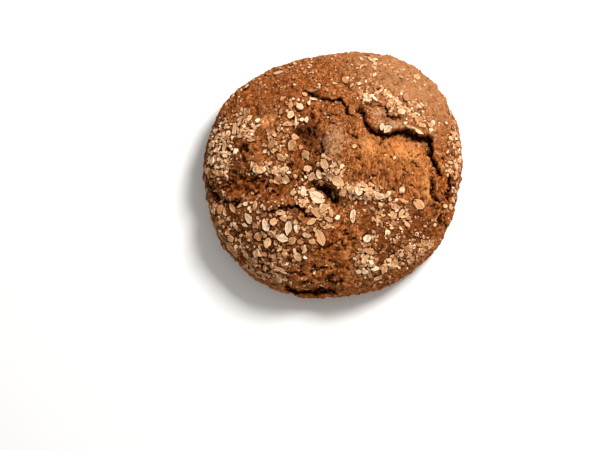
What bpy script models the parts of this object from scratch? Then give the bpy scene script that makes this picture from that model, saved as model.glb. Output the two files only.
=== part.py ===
"""A round wholemeal spelt loaf, burst open along its top and strewn with rolled flakes, as one solid.

Metres, +Z up. The loaf rests on Z = 0, and the origin is the middle of its footprint's box.
Seen from above, +X is to the right and +Y is away from the eye.
"""

import math
import random

import bmesh
import bpy
import numpy as np
from mathutils import Matrix, Vector, noise
from mathutils.bvhtree import BVHTree

MM = 0.001

# The baked dough: a low dome on a flat base
LOAF_HEIGHT = 0.0735
MEAN_RADIUS = 0.1088
BELLY_HEIGHT = 0.018  # the widest ring, above the base
UNDER_DEPTH = 0.026  # how far the rounded underside would reach if the base did not cut it
DOME_POWER = 2.3  # 2 is an ellipse, more is squarer
UNDER_POWER = 3.0
# The outline from above, each wave as (turns, share of the radius, direction in degrees)
OUTLINE_WAVES = ((1, 0.022, 53), (2, 0.040, 48), (3, 0.014, 113), (4, 0.0195, -162))

# Where the dough sank or swelled, as paths from above in millimetres, with depth and half-width
TROUGHS = (
    {"path": ((-16, -13), (-22, 2), (-25, 19), (-21, 37), (-12, 52)), "depth": 5.5, "width": 12},
    {"path": ((-14, -20), (-35, -16), (-58, -11), (-78, -12), (-92, -17)), "depth": 5.0, "width": 12},
    {"path": ((1, -33), (2, -50), (-3, -71), (-11, -95)), "depth": 4.0, "width": 14},
    {"path": ((62, 18), (70, 5), (74, -10)), "depth": 4.5, "width": 20},
    {"path": ((18, -28), (46, -37), (70, -42)), "depth": 2.0, "width": 7},
)
SWELLS = (
    {"path": ((2, 34), (4, 10)), "depth": 3.0, "width": 13},
    {"path": ((-62, -1), (-39, -10), (-23, -20), (-11, -32), (-1, -42)), "depth": 2.6, "width": 7},
    {"path": ((-1, -6), (5, -15), (13, -20), (25, -20), (39, -20)), "depth": 2.6, "width": 6},
    {"path": ((-62, -44), (-40, -52), (-18, -52)), "depth": 2.2, "width": 13},
    {"path": ((50, -52), (32, -72)), "depth": 2.5, "width": 16},
    {"path": ((40, 52), (62, 50), (80, 42)), "depth": 2.5, "width": 12},
)
# Torn edges. The low side is to the right of the way that the path runs
LEDGES = (
    {
        "path": ((23, 53), (26, 45), (30, 37), (36, 31), (41, 29), (48, 31), (54, 33), (62, 33), (69, 31),
                 (74, 28), (78, 31), (82, 28), (84, 20), (86, 12), (89, 6), (91, -2), (92, -8)),
        "drop": 4.5, "reach": 22, "gap": 8.5, "gap_width": 5.4, "lift": 2.8, "overhang": 1.6,
    },
    {
        "path": ((-26, 66), (-20, 65), (-15, 63), (-8, 62), (-1, 59), (6, 59), (10, 54), (13, 48), (17, 43),
                 (19, 37)),
        "drop": 2.6, "reach": 12, "gap": 6.0, "gap_width": 4.0, "lift": 1.8, "overhang": 2.0,
    },
    {
        "path": ((25, 52), (32, 51), (38, 51), (43, 48), (46, 44), (52, 42), (60, 40)),
        "drop": 1.0, "reach": 8, "gap": 4.0, "gap_width": 2.4, "lift": 1.3, "overhang": 1.2,
    },
    {
        "path": ((-58, -38), (-52, -35), (-46, -33), (-39, -32), (-31, -32), (-25, -34), (-19, -38),
                 (-13, -42)),
        "drop": 3.0, "reach": 9, "gap": 4.5, "gap_width": 3.8, "lift": 1.8, "overhang": 1.8,
    },
    {
        "path": ((-103, -1), (-102, -8), (-99, -14), (-95, -19), (-91, -22), (-86, -24), (-80, -25),
                 (-73, -25)),
        "drop": 2.5, "reach": 7, "gap": 8.0, "gap_width": 6.4, "lift": 1.6, "overhang": 1.0,
    },
)
FISSURES = (
    {"path": ((84, -3), (83, -12), (84, -21), (86, -29)), "depth": 5.0, "width": 3.4, "lip": 1.0},
    {"path": ((97, -3), (98, -10), (96, -18), (93, -26)), "depth": 5.0, "width": 3.2, "lip": 1.0},
    {"path": ((89, -33), (90, -40), (88, -48)), "depth": 3.5, "width": 3.0, "lip": 0.8},
    {"path": ((-79, 17), (-72, 17), (-66, 13)), "depth": 4.5, "width": 3.6, "lip": 0.9},
    {
        "path": ((-14, -15), (-7, -18), (-2, -21), (1, -26), (4, -31)),
        "depth": 13.0, "width": 6.2, "lip": 1.4,
    },
    # the burst low on the front side, behind a thin lip of crust
    {
        "path": ((-40, -96), (-34, -98), (-28, -100), (-21, -101), (-14, -101), (-7, -101), (0, -101),
                 (5, -100)),
        "depth": 14.0, "width": 3.1, "lip": 0.8,
    },
)
TAPER = 9.0 * MM  # length over which a tear closes at each end
GAP_END = 0.5  # how wide the gap under a torn edge is at its ends, against its middle
GAP_SPREAD = 28.0 * MM  # how far from an end it is at its widest
FISSURE_START = 0.35  # share of its depth that a fissure has at its very end
FISSURE_LIP_AT = 1.3  # where the lip beside a fissure is highest, and how broad it is, in fissure widths
FISSURE_LIP_BREADTH = 0.5
EDGE_SLOPE = 1.3 * MM  # half the width over which a torn edge falls
LIFT_SHARE = 0.4  # how far the raised edge reaches back, against the reach of the sunken side
SIDE_BAND = 0.018  # above the belly, the band in which the top's forms fade out down the side

LUMPS = ((0.034, 1.9 * MM), (0.013, 1.1 * MM), (0.0065, 0.55 * MM))  # size and height of the crust's lumps
# Where the dough burst its crumb stands in crags: middle, half-length, half-width in millimetres, and turn
BURSTS = (
    {"middle": (52, -2), "half": (48, 28), "turn": -12},
    {"middle": (-20, 22), "half": (44, 16), "turn": 85},
    {"middle": (-52, -14), "half": (44, 11), "turn": -2},
    {"middle": (0, -66), "half": (34, 22), "turn": 88},
    {"middle": (92, -18), "half": (26, 9), "turn": 88},
    {"middle": (-88, -17), "half": (18, 12), "turn": -20},
)
CRAGS = ((0.011, 1.3 * MM), (0.0062, 0.9 * MM))
WARP = ((0.010, 1.9 * MM), (0.0045, 0.9 * MM))  # how far the tears stray from their paths, at two sizes

DOUGH_DETAIL = 7  # subdivisions of the sphere that the dough is sculpted from
DOUGH_FACES = 6400  # what is left once it is thinned out
BASE_SINK = 0.4 * MM  # the rounded lumps are cut this far into the dough, so that the base is one flat face

# Rolled flakes. Each known one is x, y, length, width in millimetres and its turn in degrees
KNOWN_FLAKES = (
    (-13, -25, 14.3, 10.3, -35), (-24, -20, 10.3, 5.5, 85), (-55, -47, 11.2, 6.4, -72),
    (-37, -50, 12.8, 5.6, 86), (-41, -58, 10.4, 6.4, -10), (-11, -57, 15.1, 8.0, -65),
    (-30, -72, 9.6, 7.2, -55), (-69, -41, 10.4, 6.4, -60), (-61, -56, 8.0, 7.2, 0),
    (16, -40, 11.9, 5.6, 88), (28, -58, 7.2, 6.4, 60), (70, -29, 11.4, 8.0, -40), (56, -18, 7.2, 4.8, 80),
    (57, -27, 10.4, 4.0, -20), (49, -39, 8.8, 6.4, 70), (55, -37, 8.0, 4.0, 70), (7, -22, 7.1, 6.3, 40),
    (20, -20, 8.7, 7.1, 80), (30, -20, 7.1, 5.6, 85), (4, -13, 11.1, 7.9, -30), (50, -78, 9.7, 4.9, 25),
    (37, -88, 9.0, 4.1, 25), (-28, 51, 8.0, 7.2, -40), (-35, 44, 7.2, 5.6, 60), (-45, 83, 9.0, 4.1, 5),
    (-35, 18, 11.1, 5.6, 86), (-22, 11, 9.5, 7.1, -50), (-7, 2, 9.5, 7.1, -60), (-99, 8, 8.1, 6.5, 70),
    (-72, 32, 7.2, 5.6, -20), (-60, -1, 8.8, 6.4, -30), (-21, -1, 7.9, 6.3, 20), (-18, -7, 8.7, 5.5, 70),
    (-25, -30, 7.9, 7.1, 80), (-7, -34, 11.9, 4.0, 42), (-4, -48, 7.9, 4.0, 25), (40, 33, 6.4, 5.6, 80),
    (44, 31, 7.9, 5.6, 55), (29, 57, 7.2, 5.6, -30), (56, 46, 7.2, 5.6, 20), (71, 40, 6.4, 5.6, 30),
    (-45, -9, 7.1, 5.6, 20), (-93, -32, 8.1, 6.5, 80), (-64, -31, 8.8, 4.0, 82),
    (-85, -56, 6.5, 5.7, -50), (-82, -33, 9.3, 4.2, -60), (-73, -46, 7.2, 3.4, -25),
    (-80, -47, 10.2, 3.0, -60), (-34, -60, 7.6, 6.0, 60), (-81, 34, 11.0, 4.2, 85),
    (-40, -2, 8.5, 5.1, 10), (-38, -10, 6.8, 6.0, -30), (-15, -38, 11.0, 5.1, -40),
    (-2, -37, 8.5, 3.8, -80), (-4, -43, 8.5, 4.2, -15), (26, -74, 7.6, 4.2, 65), (-68, -53, 6.0, 4.8, 80),
    (-92, -41, 6.0, 5.1, 80), (80, 36, 5.5, 4.7, 0), (-35, 52, 6.8, 4.2, 85),
)
# Patches of strewn flakes: middle, half-length and half-width in millimetres, turn in degrees, and how many
FLAKE_PATCHES = (
    {"middle": (-62, -50), "half": (44, 26), "turn": -34, "count": 34},  # front left
    {"middle": (-38, -52), "half": (34, 16), "turn": -20, "count": 14},
    {"middle": (-66, -76), "half": (48, 9), "turn": -38, "count": 14},  # the rim there
    {"middle": (-98, 2), "half": (36, 12), "turn": 85, "count": 22},  # left
    {"middle": (-72, 37), "half": (15, 8), "turn": -75, "count": 8},
    {"middle": (-37, 47), "half": (10, 14), "turn": 20, "count": 6},  # back left
    {"middle": (-43, 18), "half": (15, 14), "turn": -20, "count": 10},
    {"middle": (-52, -6), "half": (18, 7), "turn": -25, "count": 9},
    {"middle": (-10, -2), "half": (19, 12), "turn": -15, "count": 12},  # the middle
    {"middle": (-18, -30), "half": (26, 9), "turn": -48, "count": 12},
    {"middle": (21, -20), "half": (25, 6), "turn": -4, "count": 12},
    {"middle": (44, -36), "half": (22, 12), "turn": -25, "count": 9},  # the front right
    {"middle": (27, -74), "half": (13, 9), "turn": -62, "count": 12},
    {"middle": (61, -70), "half": (25, 6), "turn": 28, "count": 12},
    {"middle": (101, 4), "half": (36, 7), "turn": 86, "count": 8},  # right
    {"middle": (56, 51), "half": (28, 9), "turn": -26, "count": 8},  # behind the torn flap
    {"middle": (0, 78), "half": (70, 18), "turn": 0, "count": 8},  # back
)
SIDE_FLAKES = 90  # strewn round the sides
SIDE_HEIGHTS = (0.006, 0.040)
FLAKE_LENGTHS = (0.0036, 0.0098)
FLAKE_SKEW = 1.5  # above 1, small flakes outnumber large ones
FLAKE_ASPECT = (0.42, 0.78)
FLAKE_SPACING = 0.0021  # between two flakes' middles, beside a quarter of their lengths
FLAKE_TRIES = 12  # places tried for each flake of a patch
BARE_FROM = 0.6  # the share of a burst's middle from which its crumb stays bare of the patches' flakes
RIM_SHARE = 0.97  # a patch stops at this share of the outline's radius
FLAKE_THICKNESS = 0.0011  # that shows above the crust
FLAKE_ROOT = 0.0016  # that is sunk in the crust
FLAKE_SIDES = 8
FLAKE_TAPER = 0.78  # the top of a flake against its foot
FLAKE_SEED = 11
FUSED_FLAKES = 122  # the largest of them, which are fused to the dough

CRUST_COLOUR = (0.30, 0.095, 0.026, 1.0)
CRUST_ROUGHNESS = 0.85


def outline_radius(angle):
    """The belly's radius in the direction of an angle, or of an array of them."""
    waves = sum(share * np.cos(turns * angle - math.radians(way)) for turns, share, way in OUTLINE_WAVES)
    return MEAN_RADIUS * (1 + waves)


def plain_dough():
    """The points of the plain dome, worked out from a sphere's, in a bmesh."""
    dough = bmesh.new()
    bmesh.ops.create_icosphere(dough, subdivisions=DOUGH_DETAIL, radius=1.0)
    for vert in dough.verts:
        x, y, z = vert.co
        level = math.hypot(x, y)
        radius = outline_radius(math.atan2(y, x))
        if z >= 0:
            level, z = level ** (2 / DOME_POWER), z ** (2 / DOME_POWER)
            z = BELLY_HEIGHT + (LOAF_HEIGHT - BELLY_HEIGHT) * z
        else:
            level, z = level ** (2 / UNDER_POWER), (-z) ** (2 / UNDER_POWER)
            z = BELLY_HEIGHT - UNDER_DEPTH * z
        way = math.atan2(y, x)
        vert.co = (radius * level * math.cos(way), radius * level * math.sin(way), z)
    dough.normal_update()
    return dough


def smooth_path(points, steps=6):
    """A Catmull-Rom curve through points given in millimetres, in metres."""
    knots = np.array(points, float) * MM
    knots = np.vstack([2 * knots[0] - knots[1], knots, 2 * knots[-1] - knots[-2]])
    share = np.linspace(0, 1, steps, endpoint=False)[:, None]
    curve = []
    for before, start, end, after in zip(knots, knots[1:], knots[2:], knots[3:]):
        curve.append(
            0.5 * (2 * start + (end - before) * share
                   + (2 * before - 5 * start + 4 * end - after) * share**2
                   + (3 * start - before - 3 * end + after) * share**3)
        )
    return np.vstack([*curve, knots[-2:-1]])


def measure(places, path):
    """How far each place lies from a path, signed with + on its right, how far it is from the path's ends
    along it, and the way to its right there."""
    best = np.full(len(places), np.inf)
    signed = np.zeros(len(places))
    along = np.zeros(len(places))
    right = np.zeros((len(places), 2))
    lengths = np.linalg.norm(np.diff(path, axis=0), axis=1)
    total = lengths.sum()
    done = 0.0
    for start, end, length in zip(path, path[1:], lengths):
        way = (end - start) / length
        side = np.array([way[1], -way[0]])
        offset = places - start
        share = np.clip(offset @ way, 0, length)
        gap = np.linalg.norm(offset - share[:, None] * way, axis=1)
        nearer = gap < best
        best[nearer] = gap[nearer]
        signed[nearer] = (gap * np.where(offset @ side < 0, -1, 1))[nearer]
        along[nearer] = np.minimum(done + share, total - done - share)[nearer]
        right[nearer] = side
        done += length
    return signed, along, right


def eased(share):
    share = np.clip(share, 0, 1)
    return share * share * (3 - 2 * share)


def noise_at(points, size, seed):
    """Smooth noise from -1 to 1 at each point, with lumps of about that size."""
    offset = Vector((seed * 7.3, seed * 3.1, seed * 5.7))
    return np.array([noise.noise(Vector(point) / size + offset) for point in points])


def sculpt(dough):
    """Moves the dough's points to make its troughs, swells, torn edges, fissures and lumps."""
    points = np.array([vert.co for vert in dough.verts])
    normals = np.array([vert.normal for vert in dough.verts])
    upper = eased((points[:, 2] - BELLY_HEIGHT) / SIDE_BAND)
    places = points[:, :2].copy()
    for size, strength in WARP:
        for axis in (0, 1):
            places[:, axis] += strength * noise_at(points, size, 1 + axis)
    height = np.zeros(len(points))
    upright = np.zeros(len(points))
    sideways = np.zeros((len(points), 2))

    for form, way in [(form, -1) for form in TROUGHS] + [(form, 1) for form in SWELLS]:
        distance, _, _ = measure(places, smooth_path(form["path"]))
        height += way * form["depth"] * MM * np.exp(-((distance / (form["width"] * MM)) ** 2))

    for form in LEDGES:
        signed, along, right = measure(places, smooth_path(form["path"]))
        taper = eased(along / TAPER)
        low = eased(0.5 + signed / (2 * EDGE_SLOPE))
        fall = form["drop"] * np.exp(-signed.clip(0) / (form["reach"] * MM))
        gap_width = form["gap_width"] * MM * (GAP_END + (1 - GAP_END) * eased(along / GAP_SPREAD))
        fall += form["gap"] * np.exp(-((signed / gap_width) ** 2))
        rise = form["lift"] * np.exp(signed.clip(None, 0) / (form["reach"] * LIFT_SHARE * MM))
        upright += MM * taper * (rise - low * (rise + fall))
        push = form["overhang"] * MM * taper * np.exp(signed.clip(None, 0) / (form["gap_width"] * MM))
        sideways += ((1 - low) * push)[:, None] * right

    for form in FISSURES:
        signed, along, _ = measure(places, smooth_path(form["path"]))
        taper = eased(along / TAPER + FISSURE_START)
        across = np.abs(signed) / (form["width"] * MM)
        upright -= MM * taper * form["depth"] * eased(1 - across)
        beside = (across - FISSURE_LIP_AT) / FISSURE_LIP_BREADTH
        upright += MM * taper * form["lip"] * np.exp(-(beside**2))

    craggy = np.max([inside(places, burst) for burst in BURSTS], axis=0)
    for turn, (size, strength) in enumerate(CRAGS):
        height += craggy * strength * noise_at(points, size, 15 + turn)

    height *= upper
    sideways *= upper[:, None]
    for turn, (size, strength) in enumerate(LUMPS):
        height += strength * noise_at(points, size, 5 + turn)

    # troughs and lumps stand out from the dome, and the tears go straight down
    moved = points + normals * height[:, None]
    moved[:, 2] += upright * upper
    moved[:, :2] += sideways
    for vert, point in zip(dough.verts, moved):
        vert.co = point


def inside(places, patch):
    """1 in the middle of an oval patch, falling to 0 at its edge."""
    turn = math.radians(patch["turn"])
    offset = places - np.array(patch["middle"]) * MM
    along = (offset @ (math.cos(turn), math.sin(turn))) / (patch["half"][0] * MM)
    aside = (offset @ (-math.sin(turn), math.cos(turn))) / (patch["half"][1] * MM)
    return eased(2 * (1 - np.hypot(along, aside)))


def flat_base(dough):
    """Cuts the dough level and closes the cut with one flat face at Z = 0."""
    bmesh.ops.bisect_plane(
        dough, geom=[*dough.verts, *dough.edges, *dough.faces], dist=1e-7,
        plane_co=(0, 0, BASE_SINK), plane_no=(0, 0, -1), clear_outer=True,
    )
    rim = [edge for edge in dough.edges if edge.is_boundary]
    bmesh.ops.contextual_create(dough, geom=rim)
    bmesh.ops.translate(dough, vec=(0, 0, -BASE_SINK), verts=dough.verts)
    for vert in {vert for edge in rim for vert in edge.verts}:
        vert.co.z = 0.0
    bmesh.ops.recalc_face_normals(dough, faces=dough.faces)


def thinned(mesh, name):
    """A copy of a mesh with about DOUGH_FACES faces, closest together where it is most curved."""
    helper = bpy.data.objects.new(name, mesh)
    bpy.context.scene.collection.objects.link(helper)
    decimate = helper.modifiers.new("thin_out", "DECIMATE")
    decimate.ratio = DOUGH_FACES / len(mesh.polygons)
    result = evaluated_mesh(helper)
    bpy.data.objects.remove(helper)
    return result


def evaluated_mesh(obj):
    depsgraph = bpy.context.evaluated_depsgraph_get()
    depsgraph.update()
    return bpy.data.meshes.new_from_object(obj.evaluated_get(depsgraph))


def make_dough():
    """The sculpted loaf with no flakes on it, as a mesh."""
    dough = plain_dough()
    sculpt(dough)
    fine = bpy.data.meshes.new("dough_fine")
    dough.to_mesh(fine)
    dough.free()
    mesh = thinned(fine, "dough")
    dough = bmesh.new()
    dough.from_mesh(mesh)
    flat_base(dough)
    bmesh.ops.triangulate(dough, faces=dough.faces)
    dough.to_mesh(mesh)
    dough.free()
    return mesh


def strewn_flakes():
    """Every flake as (x, y, height or None, length, width, turn in degrees): the known ones first."""
    flakes = [
        (x * MM, y * MM, None, length * MM, width * MM, turn) for x, y, length, width, turn in KNOWN_FLAKES
    ]
    for number, patch in enumerate(FLAKE_PATCHES):
        draw = random.Random(FLAKE_SEED + number)
        turn = math.radians(patch["turn"])
        placed = 0
        for _ in range(patch["count"] * FLAKE_TRIES):
            across, angle = math.sqrt(draw.random()), draw.uniform(0, math.tau)
            along = patch["half"][0] * across * math.cos(angle)
            aside = patch["half"][1] * across * math.sin(angle)
            x = (patch["middle"][0] + along * math.cos(turn) - aside * math.sin(turn)) * MM
            y = (patch["middle"][1] + along * math.sin(turn) + aside * math.cos(turn)) * MM
            if math.hypot(x, y) > RIM_SHARE * outline_radius(math.atan2(y, x)):
                continue
            if max(inside(np.array([[x, y]]), burst)[0] for burst in BURSTS) > BARE_FROM:
                continue
            placed += add_flake(flakes, draw, x, y, None)
            if placed == patch["count"]:
                break
    draw = random.Random(FLAKE_SEED + len(FLAKE_PATCHES))
    for _ in range(SIDE_FLAKES):
        angle, height = draw.uniform(0, math.tau), draw.uniform(*SIDE_HEIGHTS)
        radius = outline_radius(angle) + FLAKE_LENGTHS[1]
        add_flake(flakes, draw, radius * math.cos(angle), radius * math.sin(angle), height)
    return flakes


def add_flake(flakes, draw, x, y, height):
    """Adds a flake of a random size, unless it would crowd another. Returns how many it added."""
    shortest, longest = FLAKE_LENGTHS
    length = shortest + (longest - shortest) * draw.random() ** FLAKE_SKEW
    width = length * draw.uniform(*FLAKE_ASPECT)
    turn = draw.uniform(0, 180)
    for other in flakes:
        if (height is None) != (other[2] is None):
            continue
        rise = 0 if height is None else height - other[2]
        if math.hypot(x - other[0], y - other[1], rise) < FLAKE_SPACING + 0.25 * (length + other[3]):
            return 0
    flakes.append((x, y, height, length, width, turn))
    return 1


def seat_of(flake, surface):
    """Where a flake lies on the dough: the point and the outward direction there."""
    x, y, height = flake[:3]
    if height is None:
        start, way = Vector((x, y, 2 * LOAF_HEIGHT)), Vector((0, 0, -1))
    else:
        start, way = Vector((x, y, height)), Vector((-x, -y, 0)).normalized()
    point, normal, _, _ = surface.ray_cast(start, way)
    return point, normal


def flake_mesh():
    """One flake, 1 long and 1 wide, with its foot sunk below Z = 0. Its thickness is the real one."""
    flake = bmesh.new()
    bmesh.ops.create_cone(
        flake, cap_ends=True, cap_tris=False, segments=FLAKE_SIDES,
        radius1=0.5, radius2=0.5 * FLAKE_TAPER, depth=FLAKE_THICKNESS + FLAKE_ROOT,
    )
    bmesh.ops.translate(flake, vec=(0, 0, (FLAKE_THICKNESS - FLAKE_ROOT) / 2), verts=flake.verts)
    mesh = bpy.data.meshes.new("flake")
    flake.to_mesh(mesh)
    flake.free()
    return mesh


def place_flakes(dough_mesh, collection):
    """Puts the largest flakes on the dough, each as its own object."""
    shape = bmesh.new()
    shape.from_mesh(dough_mesh)
    surface = BVHTree.FromBMesh(shape)
    shape.free()
    flakes = strewn_flakes()
    first = len(KNOWN_FLAKES)
    largest = sorted(flakes[first:], key=lambda flake: -flake[3] * flake[4])[: FUSED_FLAKES - first]
    mesh = flake_mesh()
    for number, flake in enumerate([*flakes[:first], *largest]):
        point, normal = seat_of(flake, surface)
        _, _, _, length, width, turn = flake
        tilt = normal.to_track_quat("Z", "Y").to_matrix().to_4x4()
        turned = tilt @ Matrix.Rotation(math.radians(turn) - way_of_x(tilt), 4, "Z")
        obj = bpy.data.objects.new(f"flake_{number:03d}", mesh.copy())
        obj.data.transform(Matrix.Diagonal((length, width, 1, 1)))
        obj.matrix_world = Matrix.Translation(point) @ turned
        collection.objects.link(obj)


def way_of_x(tilt):
    """The direction of a tilted frame's X axis, seen from above."""
    axis = tilt.to_3x3() @ Vector((1, 0, 0))
    return math.atan2(axis.y, axis.x)


def fuse(loaf, collection):
    """Joins the flakes to the loaf as one closed mesh, and removes them."""
    union = loaf.modifiers.new("fuse_flakes", "BOOLEAN")
    union.operation = "UNION"
    union.operand_type = "COLLECTION"
    union.collection = collection
    union.solver = "EXACT"
    fused = evaluated_mesh(loaf)
    loaf.modifiers.clear()
    for flake in list(collection.objects):
        bpy.data.objects.remove(flake)
    bpy.data.collections.remove(collection)
    loaf.data = keep_outer_skin(fused)


def keep_outer_skin(mesh):
    """Drops what is sealed inside or lies loose, so that one closed skin is left."""
    skin = bmesh.new()
    skin.from_mesh(mesh)
    left, largest = set(skin.verts), set()
    while left:
        island, edge_of_island = set(), [left.pop()]
        while edge_of_island:
            vert = edge_of_island.pop()
            island.add(vert)
            for edge in vert.link_edges:
                other = edge.other_vert(vert)
                if other in left:
                    left.discard(other)
                    edge_of_island.append(other)
        largest = max(largest, island, key=len)
    bmesh.ops.delete(skin, geom=[vert for vert in skin.verts if vert not in largest], context="VERTS")
    bmesh.ops.triangulate(skin, faces=skin.faces)
    skin.to_mesh(mesh)
    skin.free()
    return mesh


def footprint_middle():
    """The middle of the box round the plain outline, where the loaf's own origin goes."""
    angles = np.radians(np.arange(0, 360, 0.5))
    outline = outline_radius(angles)[:, None] * np.column_stack([np.cos(angles), np.sin(angles)])
    return (outline.min(0) + outline.max(0)) / 2


def crust_material():
    material = bpy.data.materials.new("spelt_crust")
    material.use_nodes = True
    shader = material.node_tree.nodes["Principled BSDF"]
    shader.inputs["Base Color"].default_value = CRUST_COLOUR
    shader.inputs["Roughness"].default_value = CRUST_ROUGHNESS
    shader.inputs["Metallic"].default_value = 0.0
    material.diffuse_color = CRUST_COLOUR
    return material


def new_collection(name):
    collection = bpy.data.collections.new(name)
    bpy.context.scene.collection.children.link(collection)
    return collection


def main():
    for obj in list(bpy.data.objects):
        bpy.data.objects.remove(obj)
    parts = new_collection("spelt_loaf")
    strewing = new_collection("flakes_to_fuse")
    loaf = bpy.data.objects.new("loaf", make_dough())
    parts.objects.link(loaf)
    place_flakes(loaf.data, strewing)
    fuse(loaf, strewing)
    loaf.data.transform(Matrix.Translation((*-footprint_middle(), 0)))
    loaf.data.materials.clear()
    loaf.data.materials.append(crust_material())
    loaf.data.shade_smooth()
    loaf.data.set_sharp_from_angle(angle=math.radians(40))


main()
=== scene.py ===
import math
import random
from collections import namedtuple

import bpy
import numpy as np
from mathutils import Matrix, Vector, noise
from mathutils.bvhtree import BVHTree


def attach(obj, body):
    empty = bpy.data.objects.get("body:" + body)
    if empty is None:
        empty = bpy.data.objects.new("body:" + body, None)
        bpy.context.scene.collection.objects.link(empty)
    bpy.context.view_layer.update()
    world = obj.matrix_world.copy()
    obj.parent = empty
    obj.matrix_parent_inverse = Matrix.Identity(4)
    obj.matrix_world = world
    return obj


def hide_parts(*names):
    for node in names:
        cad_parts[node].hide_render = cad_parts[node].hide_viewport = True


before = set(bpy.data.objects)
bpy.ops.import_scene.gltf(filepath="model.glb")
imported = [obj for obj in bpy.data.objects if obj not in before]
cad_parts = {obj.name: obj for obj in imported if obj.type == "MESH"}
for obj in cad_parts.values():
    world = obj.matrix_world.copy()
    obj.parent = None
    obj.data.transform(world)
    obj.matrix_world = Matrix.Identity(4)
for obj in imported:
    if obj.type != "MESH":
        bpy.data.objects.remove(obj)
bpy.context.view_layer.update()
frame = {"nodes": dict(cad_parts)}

# A round spelt loaf, burst open on top and strewn with rolled flakes. Metres, +Z up, resting on Z = 0.
# Places on the loaf are in millimetres from its middle, as seen from above: x to the right, y away from
# the eye.

mm = 0.001
print("frame loaded, nodes:", ", ".join(frame["nodes"]))


# the baked dough, the same form as the solid's

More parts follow.
